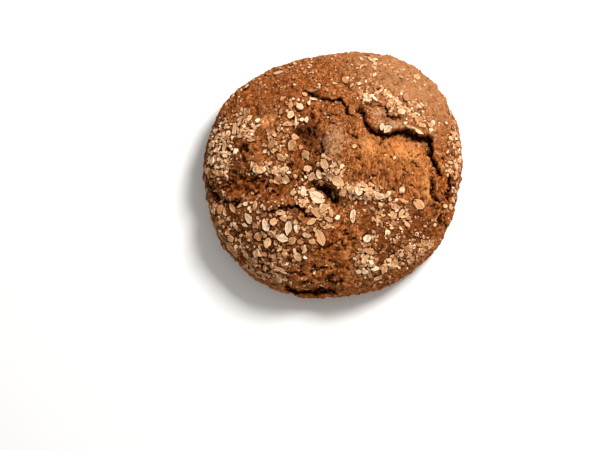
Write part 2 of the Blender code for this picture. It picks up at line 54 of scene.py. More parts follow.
loafForm = {
    "height": 0.0735,
    "meanRadius": 0.1088,
    "bellyHeight": 0.018,  # the widest ring, above the base
    "underDepth": 0.026,
    "domePower": 2.3,
    "underPower": 3.0,
    "baseSink": 0.0004,  # the underside is pressed level this far up, lumps and all
    # the outline seen from above: turns, share of the radius, direction in degrees
    "waves": ((1, 0.022, 53), (2, 0.040, 48), (3, 0.014, 113), (4, 0.0195, -162)),
    "troughs": (
        {"path": ((-16, -13), (-22, 2), (-25, 19), (-21, 37), (-12, 52)), "depth": 5.5, "width": 12},
        {"path": ((-14, -20), (-35, -16), (-58, -11), (-78, -12), (-92, -17)), "depth": 5.0, "width": 12},
        {"path": ((1, -33), (2, -50), (-3, -71), (-11, -95)), "depth": 4.0, "width": 14},
        {"path": ((62, 18), (70, 5), (74, -10)), "depth": 4.5, "width": 20},
        {"path": ((18, -28), (46, -37), (70, -42)), "depth": 2.0, "width": 7},
    ),
    "swells": (
        {"path": ((2, 34), (4, 10)), "depth": 3.0, "width": 13},
        {"path": ((-62, -1), (-39, -10), (-23, -20), (-11, -32), (-1, -42)), "depth": 2.6, "width": 7},
        {"path": ((-1, -6), (5, -15), (13, -20), (25, -20), (39, -20)), "depth": 2.6, "width": 6},
        {"path": ((-62, -44), (-40, -52), (-18, -52)), "depth": 2.2, "width": 13},
        {"path": ((50, -52), (32, -72)), "depth": 2.5, "width": 16},
        {"path": ((40, 52), (62, 50), (80, 42)), "depth": 2.5, "width": 12},
    ),
    # torn edges: the low side is to the right of the way that the path runs
    "ledges": (
        {
            "path": ((23, 53), (26, 45), (30, 37), (36, 31), (41, 29), (48, 31), (54, 33), (62, 33), (69, 31),
                     (74, 28), (78, 31), (82, 28), (84, 20), (86, 12), (89, 6), (91, -2), (92, -8)),
            "drop": 4.5, "reach": 22, "gap": 8.5, "gapWidth": 5.4, "lift": 2.8, "overhang": 1.6,
            "widest": (68, 28),
        },
        {
            "path": ((-26, 66), (-20, 65), (-15, 63), (-8, 62), (-1, 59), (6, 59), (10, 54), (13, 48),
                     (17, 43), (19, 37)),
            "drop": 2.6, "reach": 12, "gap": 6.0, "gapWidth": 4.0, "lift": 1.8, "overhang": 2.0,
        },
        {
            "path": ((25, 52), (32, 51), (38, 51), (43, 48), (46, 44), (52, 42), (60, 40)),
            "drop": 1.0, "reach": 8, "gap": 4.0, "gapWidth": 2.4, "lift": 1.3, "overhang": 1.2,
        },
        {
            "path": ((-58, -38), (-52, -35), (-46, -33), (-39, -32), (-31, -32), (-25, -34), (-19, -38),
                     (-13, -42)),
            "drop": 3.0, "reach": 9, "gap": 4.5, "gapWidth": 3.8, "lift": 1.8, "overhang": 1.8,
        },
        {
            "path": ((-103, -1), (-102, -8), (-99, -14), (-95, -19), (-91, -22), (-86, -24), (-80, -25),
                     (-73, -25)),
            "drop": 2.5, "reach": 7, "gap": 8.0, "gapWidth": 6.4, "lift": 1.6, "overhang": 1.0,
        },
    ),
    "fissures": (
        {"path": ((84, -3), (83, -12), (84, -21), (86, -29)), "depth": 5.0, "width": 3.4, "lip": 1.0},
        {"path": ((97, -3), (98, -10), (96, -18), (93, -26)), "depth": 5.0, "width": 3.2, "lip": 1.0},
        {"path": ((89, -33), (90, -40), (88, -48)), "depth": 3.5, "width": 3.0, "lip": 0.8},
        {"path": ((-79, 17), (-72, 17), (-66, 13)), "depth": 4.5, "width": 3.6, "lip": 0.9},
        {
            "path": ((-14, -15), (-7, -18), (-2, -21), (1, -26), (4, -31)),
            "depth": 13.0, "width": 6.2, "lip": 1.4,
        },
        # the burst low on the front side, behind a thin lip of crust
        {
            "path": ((-40, -96), (-34, -98), (-28, -100), (-21, -101), (-14, -101), (-7, -101), (0, -101),
                     (5, -100)),
            "depth": 14.0, "width": 3.1, "lip": 0.8,
        },
    ),
    "taper": 9.0,  # millimetres over which a tear closes at each end
    "gapEnd": 0.5,  # how wide the gap under a torn edge is at its ends, against its middle
    "gapSpread": 28.0,  # how far from an end it is at its widest
    "fissureStart": 0.35,  # how open a fissure is at its ends
    "fissureLipAt": 1.3,  # where its raised lip lies, against its width
    "fissureLipBreadth": 0.5,
    "fissureReach": 1.1,  # how far out it counts as torn, against its width
    "liftShare": 0.4,  # how far back a torn edge is raised, against its reach
    "deepGap": 5,  # a gap this deep is wholly dark
    "deepFissure": 4,
    "sideBand": 0.018,  # over this height above the belly the tears fade in
    # where the dough burst and its crumb shows
    "bursts": (
        {"middle": (52, -2), "half": (48, 28), "turn": -12},
        {"middle": (-20, 22), "half": (44, 16), "turn": 85},
        {"middle": (-52, -14), "half": (44, 11), "turn": -2},
        {"middle": (0, -66), "half": (34, 22), "turn": 88},
        {"middle": (92, -18), "half": (26, 9), "turn": 88},
        {"middle": (-88, -17), "half": (18, 12), "turn": -20},
    ),
    # each of these is a size, and a height in millimetres: the bursts' crags, the lumps all over, and how far
    # the tears wander
    "crags": ((0.011, 1.3), (0.0062, 0.9)),
    "lumps": ((0.034, 1.9), (0.013, 1.1), (0.0065, 0.55)),
    "warp": ((0.010, 1.9), (0.0045, 0.9)),
}

# where each kind of unevenness starts in the noise. The first three are the solid's too
noiseSeeds = {
    "warp": 1,
    "lumps": 5,
    "crags": 15,
    "coarse": 31,
    "fine": 32,
    "tornCoarse": 41,
    "tornFine": 42,
    "strands": 51,
    "cracks": 61,
    "gapCrumbs": 71,
    "uneven": 91,
    "wall": 101,
}


def outlineRadius(angle):
    waves = sum(share * np.cos(turns * angle - math.radians(way)) for turns, share, way in loafForm["waves"])
    return loafForm["meanRadius"] * (1 + waves)


def footprintMiddle():
    angles = np.radians(np.arange(0, 360, 0.5))
    outline = outlineRadius(angles)[:, None] * np.column_stack([np.cos(angles), np.sin(angles)])
    return (outline.min(0) + outline.max(0)) / 2


def eased(share):
    share = np.clip(share, 0, 1)
    return share * share * (3 - 2 * share)


def noiseAt(points, size, seed):
    offset = Vector((seed * 7.3, seed * 3.1, seed * 5.7))
    return np.array([noise.noise(Vector(point) / size + offset) for point in points])


def smoothPath(points, steps=6):
    knots = np.array(points, float) * mm
    knots = np.vstack([2 * knots[0] - knots[1], knots, 2 * knots[-1] - knots[-2]])
    share = np.linspace(0, 1, steps, endpoint=False)[:, None]
    curve = []
    for before, start, end, after in zip(knots, knots[1:], knots[2:], knots[3:]):
        curve.append(
            0.5 * (2 * start + (end - before) * share
                   + (2 * before - 5 * start + 4 * end - after) * share**2
                   + (3 * start - before - 3 * end + after) * share**3)
        )
    return np.vstack([*curve, knots[-2:-1]])


def measureFrom(places, path, reach):
    # signed distance with + on the right, distance from the path's ends along it, and the way to the right
    signed = np.ones(len(places))
    along = np.zeros(len(places))
    right = np.zeros((len(places), 2))
    near = np.all((places > path.min(0) - reach) & (places < path.max(0) + reach), axis=1)
    close = places[near]
    best = np.full(len(close), np.inf)
    rows = np.zeros((len(close), 4))
    lengths = np.linalg.norm(np.diff(path, axis=0), axis=1)
    total = lengths.sum()
    done = 0.0
    for start, end, length in zip(path, path[1:], lengths):
        way = (end - start) / length
        side = np.array([way[1], -way[0]])
        offset = close - start
        share = np.clip(offset @ way, 0, length)
        gap = np.linalg.norm(offset - share[:, None] * way, axis=1)
        nearer = gap < best
        best[nearer] = gap[nearer]
        rows[nearer, 0] = (gap * np.where(offset @ side < 0, -1, 1))[nearer]
        rows[nearer, 1] = np.minimum(done + share, total - done - share)[nearer]
        rows[nearer, 2:] = side
        done += length
    signed[near] = rows[:, 0]
    along[near] = rows[:, 1]
    right[near] = rows[:, 2:]
    return signed, along, right


def inside(places, patch):
    # 1 in the middle of an oval patch, falling to 0 at its edge
    turn = math.radians(patch["turn"])
    offset = places - np.array(patch["middle"]) * mm
    along = (offset @ (math.cos(turn), math.sin(turn))) / (patch["half"][0] * mm)
    aside = (offset @ (-math.sin(turn), math.cos(turn))) / (patch["half"][1] * mm)
    return eased(2 * (1 - np.hypot(along, aside)))


def nearness(places, middle, reach):
    # 1 at one place, fading over a reach in millimetres
    away = np.linalg.norm(places - np.array(middle) * mm, axis=1)
    return np.exp(-((away / (reach * mm)) ** 2))


def domed(points):
    # lays the points of a sphere of radius 1 on the plain dome
    level = np.hypot(points[:, 0], points[:, 1])
    angle = np.arctan2(points[:, 1], points[:, 0])
    upper = points[:, 2] >= 0
    power = np.where(upper, loafForm["domePower"], loafForm["underPower"])
    rise = np.abs(points[:, 2]) ** (2 / power)
    reach = outlineRadius(angle) * level ** (2 / power)
    above = loafForm["bellyHeight"] + (loafForm["height"] - loafForm["bellyHeight"]) * rise
    below = loafForm["bellyHeight"] - loafForm["underDepth"] * rise
    return np.column_stack([reach * np.cos(angle), reach * np.sin(angle), np.where(upper, above, below)])


def raisedBy(places, uneven=0.0):
    # how far each place moves out, straight up and sideways, and how much of a deep tear it is in
    height = np.zeros(len(places))
    upright = np.zeros(len(places))
    sideways = np.zeros((len(places), 2))
    deep = np.zeros(len(places))
    taperLength = loafForm["taper"] * mm
    waves = [(form, -1) for form in loafForm["troughs"]] + [(form, 1) for form in loafForm["swells"]]
    for form, way in waves:
        width = form["width"] * mm
        distance, _, _ = measureFrom(places, smoothPath(form["path"]), 3 * width)
        height += way * form["depth"] * mm * np.exp(-((distance / width) ** 2))

    for form in loafForm["ledges"]:
        signed, along, right = measureFrom(places, smoothPath(form["path"]), 4 * form["reach"] * mm)
        taper = eased(along / taperLength)
        low = eased(0.5 + signed / (2 * crustRelief["edgeSlope"] * mm))
        fall = form["drop"] * np.exp(-signed.clip(0) / (form["reach"] * mm))
        spread = loafForm["gapEnd"] + (1 - loafForm["gapEnd"]) * eased(along / (loafForm["gapSpread"] * mm))
        if "widest" in form:
            near = nearness(places, form["widest"], crustRelief["widestReach"])
            spread = spread * (1 + crustRelief["widestBy"] * near)
        gap = np.exp(-((signed / (form["gapWidth"] * mm * spread * (1 + uneven))) ** 2))
        fall += form["gap"] * gap
        rise = form["lift"] * np.exp(signed.clip(None, 0) / (form["reach"] * loafForm["liftShare"] * mm))
        upright += mm * taper * (rise - low * (rise + fall))
        push = form["overhang"] * mm * taper * np.exp(signed.clip(None, 0) / (form["gapWidth"] * mm))
        sideways += ((1 - low) * push)[:, None] * right
        deep = np.maximum(deep, taper * low * gap * min(1, form["gap"] / loafForm["deepGap"]))

    for form in loafForm["fissures"]:
        signed, along, _ = measureFrom(places, smoothPath(form["path"]), 4 * form["width"] * mm)
        taper = eased(along / taperLength + loafForm["fissureStart"])
        across = np.abs(signed) / (form["width"] * mm)
        beside = (across - loafForm["fissureLipAt"]) / loafForm["fissureLipBreadth"]
        upright += mm * taper * (form["lip"] * np.exp(-(beside**2)) - form["depth"] * eased(1 - across))
        torn = taper * eased(loafForm["fissureReach"] - across)
        deep = np.maximum(deep, torn * min(1, form["depth"] / loafForm["deepFissure"]))
    return height, upright, sideways, deep


# the crust's own finer relief, which the solid leaves out

crustRelief = {
    "subdivisions": 8,
    "bursts": 1.12,  # how much wider the torn crumb reaches than the solid's crags
    "dividedFrom": 0.05,  # the share of a burst from which its faces are smaller
    "dividedAbove": 0.25,  # the sphere's height above which they are
    "triangles": 188000,
    # how raggedly the torn edges run, at sizes that the solid leaves out
    "stray": ((0.0060, 2.2), (0.0026, 2.0)),
    "coarse": (0.0062, 1.30),  # size, and height in millimetres
    "fine": (0.0020, 0.75),
    "tornCoarse": (0.0050, 1.80),
    "tornFine": (0.0018, 0.60),
    "cobble": (0.0042, 0.70),  # the coarse meal in the dough, standing up as grains
    "tornCobble": (0.0028, 0.45),
    # winding hair cracks: how far apart, how narrow against that, and how deep
    "cracks": (0.0085, 0.075, 0.9),
    "tornCalm": 0.6,  # how much less of the plain crust's relief the torn crumb has
    "plainRagged": 0.25,  # how much of the torn crumb's relief the plain crust has
    # strands that the dough pulled out as it tore: their length, breadth and height, and where
    # they fan out from
    "strands": (0.0080, 0.0019, 0.9),
    "fan": (30, 120),
    "gapCrumbs": (0.0028, 3.0, -0.2),  # what stands in the gaps under the torn edges, cut off below the last
    "uneven": (0.011, 0.7),  # how the gaps' width varies along them
    "widestBy": 0.45,
    "widestReach": 10,
    "calm": {"middle": (-17, -100), "half": (40, 16), "turn": 0},  # the burst there runs evenly
    "calmed": 0.8,  # how much less the tears stray there
    "edgeSlope": 0.80,  # the solid's torn edges fall over a wider stretch
    "edgeReach": 7,  # within this of a torn edge the faces are smaller too
    "cells": 0.0042,  # the crumb's bubbles, open where the dough tore
    "cellDepth": 1.6,
    "cellShare": 0.40,  # how many of them are open
    "cellReach": (0.32, 0.35),  # the smallest one's, against a cell, and how much the largest one's adds
    "cellsFrom": 0.02,  # the share of a burst from which there are any
    # short dark slits: where, how many, their turn and its spread in degrees, length, width and depth
    "slits": (
        {"middle": (0, -72), "half": (40, 24), "turn": 2, "spread": 30, "count": 30,
         "length": (3, 8), "width": (0.8, 1.5), "depth": (1.0, 2.4)},
        {"middle": (94, -20), "half": (12, 34), "turn": 80, "spread": 40, "count": 34,
         "length": (3, 7), "width": (0.9, 1.7), "depth": (1.8, 3.6)},
        {"middle": (-22, 22), "half": (16, 42), "turn": 70, "spread": 45, "count": 40,
         "length": (3, 7), "width": (0.8, 1.5), "depth": (1.4, 3.0)},
        {"middle": (-56, -13), "half": (42, 12), "turn": 10, "spread": 45, "count": 36,
         "length": (3, 8), "width": (0.8, 1.6), "depth": (1.6, 3.4)},
        {"middle": (50, -4), "half": (42, 28), "turn": -45, "spread": 35, "count": 36,
         "length": (2, 6), "width": (0.7, 1.4), "depth": (1.2, 2.6)},
        {"middle": (-88, 24), "half": (14, 40), "turn": 60, "spread": 50, "count": 34,
         "length": (3, 6), "width": (0.9, 1.6), "depth": (1.4, 2.6)},
        {"middle": (-58, 60), "half": (44, 26), "turn": 40, "spread": 60, "count": 26,
         "length": (2, 5), "width": (0.7, 1.2), "depth": (0.9, 1.8)},
    ),
    "slitBow": 0.35,
    # cracks, round pits and burst bubbles that stand out, each at its own place
    "creases": (
        {"path": ((-10, 44), (-4, 44), (1, 44), (7, 44)), "depth": 2.2, "width": 1.2},
        {"path": ((-5, 36), (-1, 35), (3, 33)), "depth": 2.0, "width": 1.2},
        {"path": ((13, 37), (15, 33), (18, 29)), "depth": 2.0, "width": 0.9},
        {"path": ((12, 29), (14, 26), (17, 25), (21, 25)), "depth": 2.0, "width": 1.1},
        {"path": ((20, 19), (24, 14)), "depth": 1.8, "width": 1.0},
        {"path": ((-32, 32), (-27, 29), (-23, 29), (-20, 34)), "depth": 3.0, "width": 2.4},
        {"path": ((-11, 21), (-10, 15), (-8, 9)), "depth": 2.6, "width": 1.8},
        {"path": ((64, 6), (69, 4), (74, 3)), "depth": 2.4, "width": 1.3},
        {"path": ((58, 5), (60, -1), (63, -5)), "depth": 2.0, "width": 1.1},
        {"path": ((68, 9), (71, 12), (75, 14)), "depth": 1.8, "width": 1.0},
        {"path": ((96, 15), (100, 14), (105, 11)), "depth": 2.6, "width": 1.5},
        {"path": ((37, 69), (44, 64), (51, 58)), "depth": 2.0, "width": 1.0},
        {"path": ((-20, -86), (-11, -86), (-4, -84)), "depth": 2.6, "width": 1.4},
        {"path": ((-38, -85), (-30, -86), (-24, -88)), "depth": 2.6, "width": 1.3},
        {"path": ((-26, -94), (-20, -96)), "depth": 2.6, "width": 1.8},
        {"path": ((-8, -95), (2, -95), (10, -94)), "depth": 3.0, "width": 1.9},
    ),
    # x, y, radius and depth
    "pits": (
        (-69, 14, 3.2, 4.0), (-62, 14, 1.5, 2.4), (-83, -17, 1.7, 3.0), (-64, -21, 2.4, 3.2),
        (-52, -21, 1.8, 2.6), (-86, -9, 2.2, 2.6), (-35, 1, 3.0, 4.0), (-68, -9, 1.5, 2.4),
        (-18, 29, 1.5, 2.4), (-8, 26, 1.4, 2.4), (46, 0, 1.4, 2.4), (33, -8, 1.5, 2.4),
        (8, -64, 1.9, 3.0), (48, -71, 2.6, 3.2), (27, -68, 1.5, 2.4),
    ),
    # x, y, radius and rise
    "bubbles": ((-62, 8, 3.4, 1.0), (-69, 9, 3.0, 1.4), (18, -55, 6.4, 1.6), (-43, -36, 2.6, 1.0)),
    "bubbleMoat": 0.7,  # how deep the crease round a bubble is, against its rise
    "burstBubble": 0,  # this one is open in its middle
    "burstDepth": 2.6,
    "seed": 5,
    "smoothings": 14,  # rounds of smoothing that the hollows are measured against
    # edges of this length in millimetres have been drawn out by a tear, from the first signs to wholly
    "stretched": (1.2, 2.2),
    "evenings": 4,  # rounds of smoothing over such walls
    "fadings": 2,  # and over where they begin and end
    "wall": (0.0022, 0.7),  # and their new roughness
    "slitDepth": 2.2,  # a slit this deep is wholly dark
}


def pointsOf(loaf):
    flat = np.empty(len(loaf.data.vertices) * 3)
    loaf.data.vertices.foreach_get("co", flat)
    return flat.reshape(-1, 3)


def setPoints(loaf, points):
    # moves every point of a mesh
    loaf.data.vertices.foreach_set("co", points.ravel())
    loaf.data.update()


def normalsOf(loaf):
    flat = np.empty(len(loaf.data.vertices) * 3, np.float32)
    loaf.data.vertex_normals.foreach_get("vector", flat)
    return flat.reshape(-1, 3).astype(float)


def keepValue(loaf, name, values):
    # stores one number for each point, which the materials read
    layer = loaf.data.attributes.get(name) or loaf.data.attributes.new(name, "FLOAT", "POINT")
    layer.data.foreach_set("value", values.astype(np.float32))


def edgesOf(loaf):
    ends = np.empty(len(loaf.data.edges) * 2, np.int32)
    loaf.data.edges.foreach_get("vertices", ends)
    return ends.reshape(-1, 2)


def smoothed(values, edges, rounds):
    # draws each point's value towards those of its neighbours
    count = np.bincount(edges.ravel(), minlength=len(values)).clip(1)
    for _ in range(rounds):
        total = np.bincount(edges[:, 0], values[edges[:, 1]], len(values))
        total += np.bincount(edges[:, 1], values[edges[:, 0]], len(values))
        values = 0.4 * values + 0.6 * total / count
    return values


def rounded(points, edges, rounds):
    return np.column_stack([smoothed(points[:, axis], edges, rounds) for axis in range(3)])


def tornShare(places):
    # how far each place lies in the torn crumb, from 0 to 1
    grown = [
        {**burst, "half": tuple(crustRelief["bursts"] * half for half in burst["half"])}
        for burst in loafForm["bursts"]
    ]
    return np.max([inside(places, burst) for burst in grown], axis=0)


def openBubbles(points, share):
    # the bubbles that the tear laid open: dents round the cells' middles, in some of the cells
    smallest, added = crustRelief["cellReach"]
    depth = np.zeros(len(points))
    for spot in np.flatnonzero(share > crustRelief["cellsFrom"]):
        distances, middles = noise.voronoi(Vector(points[spot]) / crustRelief["cells"])
        # each cell's own chance, read at some other place in the noise
        chance = 0.5 + 0.5 * noise.cell(middles[0] * 3.7 + Vector((9.1, 4.3, 2.7)))
        if chance < crustRelief["cellShare"]:
            reach = smallest + added * chance / crustRelief["cellShare"]
            depth[spot] = max(0.0, 1 - (distances[0] / reach) ** 2) * (0.5 + chance)
    return depth


def cobbled(points, size):
    # rounded grains, high in their middles and creased between
    nearest = np.array([noise.voronoi(Vector(point) / size)[0][0] for point in points])
    return 0.5 - 2.2 * nearest**2


def strandsAt(points):
    # noise that is drawn out away from one place behind the loaf
    length, breadth, _ = crustRelief["strands"]
    offset = points[:, :2] - np.array(crustRelief["fan"]) * mm
    away = np.hypot(offset[:, 0], offset[:, 1])
    turned = np.arctan2(offset[:, 1], offset[:, 0]) * away.mean()
    drawn = np.column_stack([away / length, turned / breadth, points[:, 2] / length])
    return noiseAt(drawn, 1, noiseSeeds["strands"])


def nearEdges(places):
    # which places lie beside a torn edge or a fissure
    near = np.zeros(len(places), bool)
    reach = crustRelief["edgeReach"] * mm
    for form in loafForm["ledges"] + loafForm["fissures"]:
        signed, along, _ = measureFrom(places, smoothPath(form["path"]), reach)
        near |= (along > 0) & (np.abs(signed) < reach)
    return near


def cutCreases(places):
    # how deep each place lies in the cracks and pits that have a place of their own
    depth = np.zeros(len(places))
    for crease in crustRelief["creases"]:
        width = crease["width"] * mm
        signed, along, _ = measureFrom(places, smoothPath(crease["path"]), 3 * width)
        cut = crease["depth"] * mm * eased(along / (3 * mm) + 0.3) * np.exp(-((signed / width) ** 2))
        depth = np.maximum(depth, cut)
    for x, y, radius, deep in crustRelief["pits"]:
        away = np.hypot(places[:, 0] - x * mm, places[:, 1] - y * mm) / (radius * mm)
        depth = np.maximum(depth, deep * mm * eased(1.25 * (1.1 - away)))
    return depth


def blownBubbles(places):
    # half spheres with a crease round each
    height = np.zeros(len(places))
    for number, (x, y, radius, rise) in enumerate(crustRelief["bubbles"]):
        away = np.hypot(places[:, 0] - x * mm, places[:, 1] - y * mm) / (radius * mm)
        moat = np.exp(-(((away - 1.15) / 0.22) ** 2))
        height += mm * rise * (np.sqrt((1 - away**2).clip(0)) - crustRelief["bubbleMoat"] * moat)
        if number == crustRelief["burstBubble"]:
            height -= crustRelief["burstDepth"] * mm * eased(1.6 - 3.2 * away)
    return height


def cutSlits(places):
    # how deep each place lies in the slits that are strewn over their zones
    draw = random.Random(crustRelief["seed"])
    depth = np.zeros(len(places))
    for zone in crustRelief["slits"]:
        for _ in range(zone["count"]):
            across, angle = math.sqrt(draw.random()), draw.uniform(0, math.tau)
            middle = np.array([
                (zone["middle"][0] + zone["half"][0] * across * math.cos(angle)) * mm,
                (zone["middle"][1] + zone["half"][1] * across * math.sin(angle)) * mm,
            ])
            turn = math.radians(zone["turn"] + draw.uniform(-1, 1) * zone["spread"])
            length, width, deep = (draw.uniform(*zone[name]) * mm for name in ("length", "width", "depth"))
            bow = draw.uniform(-crustRelief["slitBow"], crustRelief["slitBow"])
            near = np.flatnonzero(np.abs(places - middle).max(axis=1) < 0.6 * length + 2 * width)
            offset = places[near] - middle
            along = (offset @ (math.cos(turn), math.sin(turn))) / (0.5 * length)
            aside = (offset @ (-math.sin(turn), math.cos(turn)) - bow * length * (1 - along**2) * 0.5) / width
            cut = deep * eased(1.15 * (1 - along**2)) * np.exp(-(aside**2))
            depth[near] = np.maximum(depth[near], cut)
    return depth


def selectFaces(loaf, chosen):
    # opens edit mode with just these faces selected
    bpy.ops.object.mode_set(mode="EDIT")
    bpy.ops.mesh.select_mode(type="FACE")
    bpy.ops.mesh.select_all(action="DESELECT")
    bpy.ops.object.mode_set(mode="OBJECT")
    loaf.data.polygons.foreach_set("select", chosen)
    bpy.ops.object.mode_set(mode="EDIT")


def applyModifier(piece, kind, **settings):
    modifier = piece.modifiers.new(kind.lower(), kind)
    for name, value in settings.items():
        setattr(modifier, name, value)
    bpy.context.view_layer.objects.active = piece
    bpy.ops.object.modifier_apply(modifier=modifier.name)


def addPrimitive(add, name, **settings):
    # adds one primitive with nothing else selected, and names it
    bpy.ops.object.select_all(action="DESELECT")
    add(**settings)
    piece = bpy.context.object
    piece.name = name
    piece.data.name = name
    return piece


def divideTears(loaf):
    # gives the torn places smaller faces
    sphere = pointsOf(loaf)
    places = domed(sphere)[:, :2]
    corners = np.empty(len(loaf.data.loops), np.int32)
    loaf.data.loops.foreach_get("vertex_index", corners)
    corners = corners.reshape(-1, 3)
    torn = (tornShare(places) > crustRelief["dividedFrom"]) | nearEdges(places)
    high = sphere[corners[:, 0], 2] > crustRelief["dividedAbove"]
    selectFaces(loaf, torn[corners].any(axis=1) & high)
    bpy.ops.mesh.subdivide(number_cuts=1)
    bpy.ops.object.mode_set(mode="OBJECT")


def strayed(points):
    # where each point lies against the tears, which wander, and how freely they do so there
    places = points[:, :2].copy()
    free = 1 - crustRelief["calmed"] * inside(places, crustRelief["calm"])
    for sizes, share in ((loafForm["warp"], 1), (crustRelief["stray"], free)):
        for size, strength in sizes:
            for axis in (0, 1):
                wandering = noiseAt(points, size, noiseSeeds["warp"] + axis)
                places[:, axis] += strength * mm * share * wandering
    return places, free


def reliefOf(name, points, share):
    # one kind of the crust's unevenness, as much of it as shows at each point
    size, strength = crustRelief[name]
    return mm * strength * share * noiseAt(points, size, noiseSeeds[name])


def roughenWalls(loaf, points, edges):
    # evens out and roughens the walls under the torn edges, which were drawn out in long thin faces
    lengths = np.linalg.norm(points[edges[:, 0]] - points[edges[:, 1]], axis=1) / mm
    longest = np.zeros(len(points))
    for end in (0, 1):
        np.maximum.at(longest, edges[:, end], lengths)
    low, high = crustRelief["stretched"]
    drawn = smoothed(eased((longest - low) / (high - low)), edges, crustRelief["fadings"])
    points += drawn[:, None] * (rounded(points, edges, crustRelief["evenings"]) - points)
    setPoints(loaf, points)
    size, strength = crustRelief["wall"]
    rough = drawn * strength * mm * noiseAt(points, size, noiseSeeds["wall"])
    points += normalsOf(loaf) * rough[:, None]
    setPoints(loaf, points)
    return drawn


def flattenBase(loaf):
    # presses the underside level, and puts the middle of the footprint over the origin
    points = pointsOf(loaf)
    points[:, 2] = (points[:, 2] - loafForm["baseSink"]).clip(0)
    points[:, :2] -= footprintMiddle()
    setPoints(loaf, points)


def makeCrust():
    loaf = addPrimitive(
        bpy.ops.mesh.primitive_ico_sphere_add, "crust", subdivisions=crustRelief["subdivisions"], radius=1
    )
    divideTears(loaf)
    sphere = pointsOf(loaf)
    sphere /= np.linalg.norm(sphere, axis=1)[:, None]
    points = domed(sphere)
    setPoints(loaf, points)
    normals = normalsOf(loaf)

    # the form that the solid has too
    upper = eased((points[:, 2] - loafForm["bellyHeight"]) / loafForm["sideBand"])
    places, free = strayed(points)
    size, strength = crustRelief["uneven"]
    uneven = strength * noiseAt(points, size, noiseSeeds["uneven"])
    height, upright, sideways, deep = raisedBy(places, uneven)
    craggy = np.max([inside(places, burst) for burst in loafForm["bursts"]], axis=0)
    for turn, (size, strength) in enumerate(loafForm["crags"]):
        height += craggy * strength * mm * noiseAt(points, size, noiseSeeds["crags"] + turn)
    height *= upper
    sideways *= upper[:, None]
    for turn, (size, strength) in enumerate(loafForm["lumps"]):
        height += strength * mm * noiseAt(points, size, noiseSeeds["lumps"] + turn)
    print("dough shaped:", len(points), "points")

    # the finer relief
    torn = np.maximum(tornShare(places), deep) * upper
    plain = 1 - crustRelief["tornCalm"] * torn
    ragged = crustRelief["plainRagged"] + (1 - crustRelief["plainRagged"]) * torn
    height += reliefOf("coarse", points, plain)
    height += reliefOf("tornCoarse", points, ragged)
    height += reliefOf("fine", points, plain)
    height += reliefOf("tornFine", points, ragged)
    for name, share in (("cobble", 1 - torn), ("tornCobble", torn)):
        size, strength = crustRelief[name]
        height += mm * strength * share * cobbled(points, size)
    height += mm * crustRelief["strands"][2] * torn * strandsAt(points)
    height -= mm * crustRelief["cellDepth"] * eased(2 * torn) * openBubbles(points, torn)
    size, narrow, strength = crustRelief["cracks"]
    winding = noiseAt(points, size, noiseSeeds["cracks"])
    height -= mm * strength * (1 - torn) * np.exp(-((winding / narrow) ** 2))
    slits = np.maximum(cutSlits(places), cutCreases(places)) * upper
    height += blownBubbles(places) * upper - slits
    size, strength, lowest = crustRelief["gapCrumbs"]
    crumbs = noiseAt(points, size, noiseSeeds["gapCrumbs"])
    upright += mm * strength * deep * free * crumbs.clip(lowest, 1)

    # lumps and relief stand out from the dome, and the tears go straight down
    moved = points + normals * height[:, None]
    moved[:, 2] += upright * upper
    moved[:, :2] += sideways
    edges = edgesOf(loaf)
    drawn = roughenWalls(loaf, moved, edges)

    # how deep each point lies below the crust round it, for the painted shade and highlight in the colours
    below = rounded(moved, edges, crustRelief["smoothings"]) - moved
    keepValue(loaf, "hollow", np.einsum("ij,ij->i", below, normalsOf(loaf)) / mm)
    keepValue(loaf, "torn", np.maximum(torn, drawn * upper))
    # the deep tears and slits, which the colours fill with painted shade
    dark = np.maximum(deep, slits / (crustRelief["slitDepth"] * mm))
    keepValue(loaf, "deep", dark.clip(0, 1) * upper)
    print("crust relief made")

    # fewer triangles where the crust is plain
    flattenBase(loaf)
    have = sum(len(face.vertices) - 2 for face in loaf.data.polygons)
    applyModifier(loaf, "TRIANGULATE")
    applyModifier(loaf, "DECIMATE", ratio=min(1, crustRelief["triangles"] / have))
    bpy.ops.object.select_all(action="DESELECT")
    loaf.select_set(True)
    bpy.ops.object.shade_smooth()
    print("crust finished:", len(loaf.data.polygons), "faces")
    return loaf


crust = makeCrust()
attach(crust, "root")
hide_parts("loaf")


# where the flakes lie

